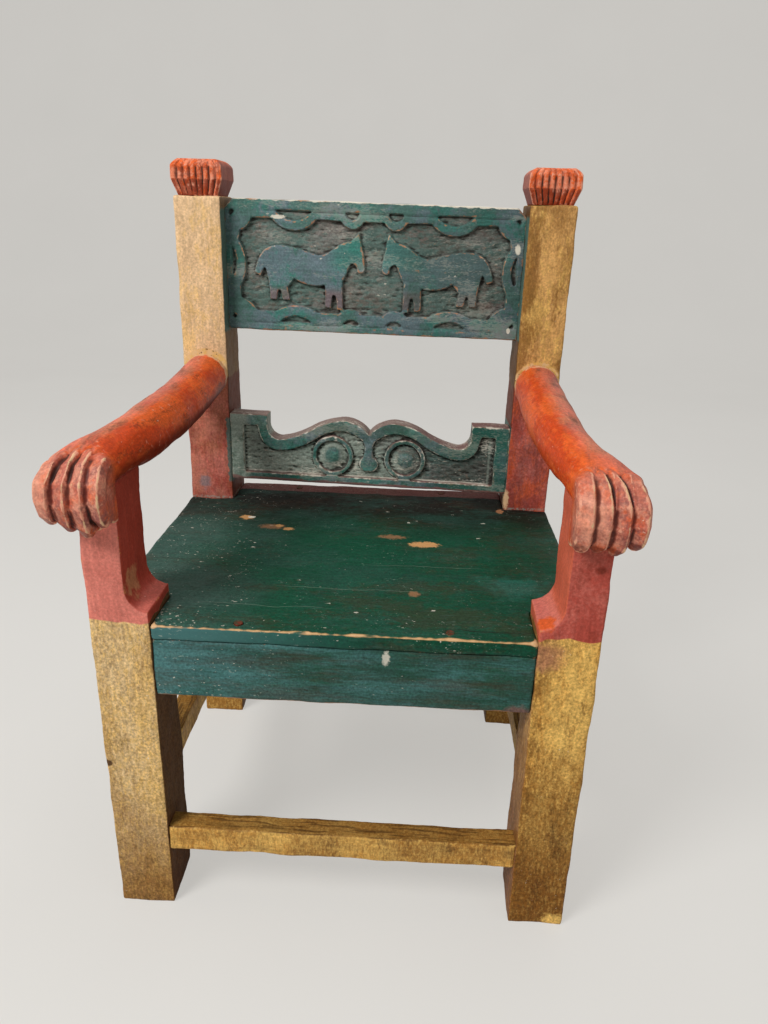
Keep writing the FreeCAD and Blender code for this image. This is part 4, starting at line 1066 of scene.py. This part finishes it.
class CHAIR_OT_seat(bpy.types.Operator):
    """Makes the seat board"""

    bl_idname = "chair.seat"
    bl_label = "Seat"

    def execute(self, context):
        piece = skin("seat_board", sizes().seat_grain)
        hew(piece, 60, depth=0.4 * MM)
        settle(piece, "seat_board", seat_finish())
        return {"FINISHED"}


class CHAIR_OT_seat_rails(bpy.types.Operator):
    """Makes the apron and the other rails under the seat"""

    bl_idname = "chair.seat_rails"
    bl_label = "Seat rails"

    def execute(self, context):
        finish = seat_rail_finish()
        nodes = ("front_seat_rail", "rear_seat_rail", "side_seat_rail_right", "side_seat_rail_left")
        for seed, node in enumerate(nodes, 70):
            piece = skin(node, sizes().post_grain)
            hew(piece, seed, depth=0.35 * MM)
            settle(piece, node, finish)
        return {"FINISHED"}


class CHAIR_OT_stretchers(bpy.types.Operator):
    """Makes the four low stretchers"""

    bl_idname = "chair.stretchers"
    bl_label = "Stretchers"

    def execute(self, context):
        lengthwise, crosswise = stretcher_finish("Y"), stretcher_finish("X")
        nodes = ("front_stretcher", "rear_stretcher", "side_stretcher_right", "side_stretcher_left")
        for seed, node in enumerate(nodes, 80):
            piece = skin(node, sizes().stretcher_grain)
            hew(piece, seed)
            settle(piece, node, lengthwise if node.startswith("side") else crosswise)
        return {"FINISHED"}


def rough_ground(piece, face_y, seed):
    """Leaves gouge marks along the grain, deep on the cut ground and shallow on the raised carving."""
    points, normals = points_of(piece), normals_of(piece)
    wide, narrow = 7 * MM, 3.6 * MM
    marks = np.abs(waves(points, wide, seed, (0.3, 0, 1)))
    marks += 0.5 * np.abs(waves(points, narrow, seed + 1, (0.4, 0, 1)))
    sunk = np.clip((points[:, 1] - face_y) / sizes().relief, 0.2, 1) * rise(-normals[:, 1], 0.2, 0.7)
    points[:, 1] += marks * sunk * sizes().tool_depth
    move(piece, points)


def score(piece, level, start, end):
    """An incised line along the rail's front."""
    points, normals = points_of(piece), normals_of(piece)
    wobble, taper = 0.5 * MM, 8 * MM
    height = points[:, 2] - level + waves(points, 60 * MM, 7, (1, 0, 0)) * wobble
    span = rise(points[:, 0], start, start + taper) * (1 - rise(points[:, 0], end - taper, end))
    points[:, 1] += bell(height, sizes().line_width) * span * (normals[:, 1] < -0.5) * sizes().line_depth
    move(piece, points)


def slope(piece, drop):
    """Lets the rail's right end hang lower than its left."""
    points = points_of(piece)
    half = np.abs(points[:, 0]).max()
    points[:, 2] -= drop * points[:, 0] / half
    move(piece, points)


class CHAIR_OT_upper_rail(bpy.types.Operator):
    """Makes the carved crest with its wavy band and two burros"""

    bl_idname = "chair.upper_rail"
    bl_label = "Upper back rail"

    def execute(self, context):
        low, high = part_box("upper_back_rail")
        piece = skin("upper_back_rail", sizes().carving_grain, ease=2)
        rough_ground(piece, low.y, 90)
        score(piece, high.z - 11.5 * MM, start=-0.135, end=0.152)
        score(piece, low.z + 8 * MM, start=-0.140, end=0.140)
        hew(piece, 91, depth=0.3 * MM)
        slope(piece, sizes().crest_drop)
        settle(piece, "upper_back_rail", upper_rail_finish(low.y, low.z, high.z))
        return {"FINISHED"}


class CHAIR_OT_lower_rail(bpy.types.Operator):
    """Makes the scrolled rail with its rosettes"""

    bl_idname = "chair.lower_rail"
    bl_label = "Lower back rail"

    def execute(self, context):
        low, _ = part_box("lower_back_rail")
        piece = skin("lower_back_rail", sizes().lower_grain, ease=2)
        rough_ground(piece, low.y, 95)
        hew(piece, 96, depth=0.3 * MM)
        slope(piece, sizes().scroll_drop)
        settle(piece, "lower_back_rail", lower_rail_finish(low.y, low.z))
        return {"FINISHED"}


class CHAIR_OT_pegs(bpy.types.Operator):
    """Makes the wooden pegs"""

    bl_idname = "chair.pegs"
    bl_label = "Pegs"

    def execute(self, context):
        finish = peg_finish()
        for node in ("seat_pegs", "back_rail_pegs", "arm_pegs"):
            piece = skin(node, sizes().peg_grain, ease=2)
            settle(piece, node, finish)
        return {"FINISHED"}


class CHAIR_OT_stage(bpy.types.Operator):
    """Sets the floor, the lights and the camera"""

    bl_idname = "chair.stage"
    bl_label = "Floor, light and camera"

    def execute(self, context):
        scene = context.scene
        scene.view_settings.view_transform = "Standard"
        lay_floor(scene)
        light_world(scene)
        for name, place, aim, width, power in LAMPS:
            hang_lamp(scene, name, place, aim, width, power)
        set_camera(scene)
        return {"FINISHED"}


# Lamps: name, place, aim, width and power
LAMPS = (
    ("key_lamp", (-1.15, -1.25, 1.85), (0, 0, 0.32), 0.9, 40.0),
    ("fill_lamp", (1.6, -1.3, 0.9), (0, 0, 0.35), 1.4, 4.5),
    ("top_lamp", (0.2, 0.3, 2.2), (0, 0, 0.3), 1.2, 10.0),
)


def lay_floor(scene):
    """A floor that sweeps up into a backdrop behind the chair."""
    bm, half = bmesh.new(), scene.chair_view.floor_half
    bmesh.ops.create_grid(bm, x_segments=1, y_segments=1, size=half)
    back = [edge for edge in bm.edges if all(vert.co.y > 0 for vert in edge.verts)]
    wall = bmesh.ops.extrude_edge_only(bm, edges=back)["geom"]
    bmesh.ops.translate(bm, verts=[g for g in wall if isinstance(g, bmesh.types.BMVert)], vec=(0, 0, half))
    bmesh.ops.bevel(
        bm, geom=back, offset=scene.chair_view.sweep, offset_type="OFFSET", affect="EDGES", segments=24,
        profile=0.5, material=-1)
    bmesh.ops.recalc_face_normals(bm, faces=bm.faces)
    mesh = bpy.data.meshes.new("floor")
    bm.to_mesh(mesh)
    bm.free()
    mesh.polygons.foreach_set("use_smooth", np.ones(len(mesh.polygons), bool))
    floor = bpy.data.objects.new("floor", mesh)
    scene.collection.objects.link(floor)
    mesh.materials.append(floor_finish())


def floor_finish():
    """Pale matt paint, lifted towards its own colour where the camera sees it."""
    brush = Brush("floor_paint", "X")
    brush.prime("floor")
    brush.vary(brush.cloud(400, None, 3.0), 0.02)
    matt = brush.node(
        "ShaderNodeBsdfPrincipled",
        inputs={"Base Color": brush.colour, "Roughness": 0.9, "Specular IOR Level": 0.1}, out="BSDF")
    glow = brush.node("ShaderNodeEmission", inputs={"Color": brush.colour, "Strength": 1.0})
    shader = brush.blend(brush.seen() * bpy.context.scene.chair_view.glow, matt, glow)
    brush.node("ShaderNodeOutputMaterial", inputs={"Surface": shader})
    return brush.material


def light_world(scene):
    """Even light from all round, and a pale backdrop where the camera looks past the floor."""
    scene.world = bpy.data.worlds.new("studio")
    scene.world.use_nodes = True
    sky = Nodes(scene.world.node_tree)
    lit = sky.node("ShaderNodeBackground", inputs={"Strength": scene.chair_view.sky})
    pale = {"Color": linear(paints().floor), "Strength": scene.chair_view.backdrop}
    shown = sky.node("ShaderNodeBackground", inputs=pale)
    sky.node("ShaderNodeOutputWorld", inputs={"Surface": sky.blend(sky.seen(), lit, shown)})


def hang_lamp(scene, name, place, aim, width, power):
    lamp = bpy.data.lights.new(name, "AREA")
    lamp.shape, lamp.size, lamp.energy = "DISK", width, power
    holder = bpy.data.objects.new(name, lamp)
    holder.location = place
    holder.rotation_euler = (Vector(aim) - Vector(place)).to_track_quat("-Z", "Y").to_euler()
    scene.collection.objects.link(holder)


def set_camera(scene):
    view = scene.chair_view
    flat = Vector((math.cos(view.yaw), -math.sin(view.yaw), 0))
    level = Vector((math.sin(view.yaw), math.cos(view.yaw), 0))
    ahead = level * math.cos(view.pitch) + Vector((0, 0, math.sin(view.pitch)))
    above = flat.cross(ahead)
    right = math.cos(view.roll) * flat + math.sin(view.roll) * above
    upward = math.cos(view.roll) * above - math.sin(view.roll) * flat
    lens = bpy.data.cameras.new("camera")
    lens.sensor_fit = "VERTICAL"
    lens.lens = view.focal_share * lens.sensor_height
    camera = bpy.data.objects.new("camera", lens)
    camera.matrix_world = Matrix((
        (right.x, upward.x, -ahead.x, view.stand[0]), (right.y, upward.y, -ahead.y, view.stand[1]),
        (right.z, upward.z, -ahead.z, view.stand[2]), (0, 0, 0, 1)))
    scene.collection.objects.link(camera)
    scene.camera = camera


OPERATORS = (
    CHAIR_OT_front_posts, CHAIR_OT_back_posts, CHAIR_OT_arms, CHAIR_OT_finials, CHAIR_OT_seat,
    CHAIR_OT_seat_rails, CHAIR_OT_stretchers, CHAIR_OT_upper_rail, CHAIR_OT_lower_rail, CHAIR_OT_pegs,
    CHAIR_OT_stage)


class CHAIR_PT_panel(bpy.types.Panel):
    """Lists the steps that dress the chair"""

    bl_idname = "CHAIR_PT_panel"
    bl_label = "Painted child chair"
    bl_space_type = "VIEW_3D"
    bl_region_type = "UI"
    bl_category = "Chair"

    def draw(self, context):
        for step in OPERATORS:
            self.layout.operator(step.bl_idname)


GROUPS = (("chair_sizes", ChairSizes), ("chair_paints", ChairPaints), ("chair_view", ChairView))


def register():
    for name, group in GROUPS:
        bpy.utils.register_class(group)
        setattr(bpy.types.Scene, name, bpy.props.PointerProperty(type=group))
    for step in OPERATORS + (CHAIR_PT_panel,):
        bpy.utils.register_class(step)


def unregister():
    for step in reversed(OPERATORS + (CHAIR_PT_panel,)):
        bpy.utils.unregister_class(step)
    for name, group in reversed(GROUPS):
        delattr(bpy.types.Scene, name)
        bpy.utils.unregister_class(group)


def main():
    register()
    for step in OPERATORS:
        family, name = step.bl_idname.split(".")
        getattr(getattr(bpy.ops, family), name)()


if __name__ == "__main__":
    main()
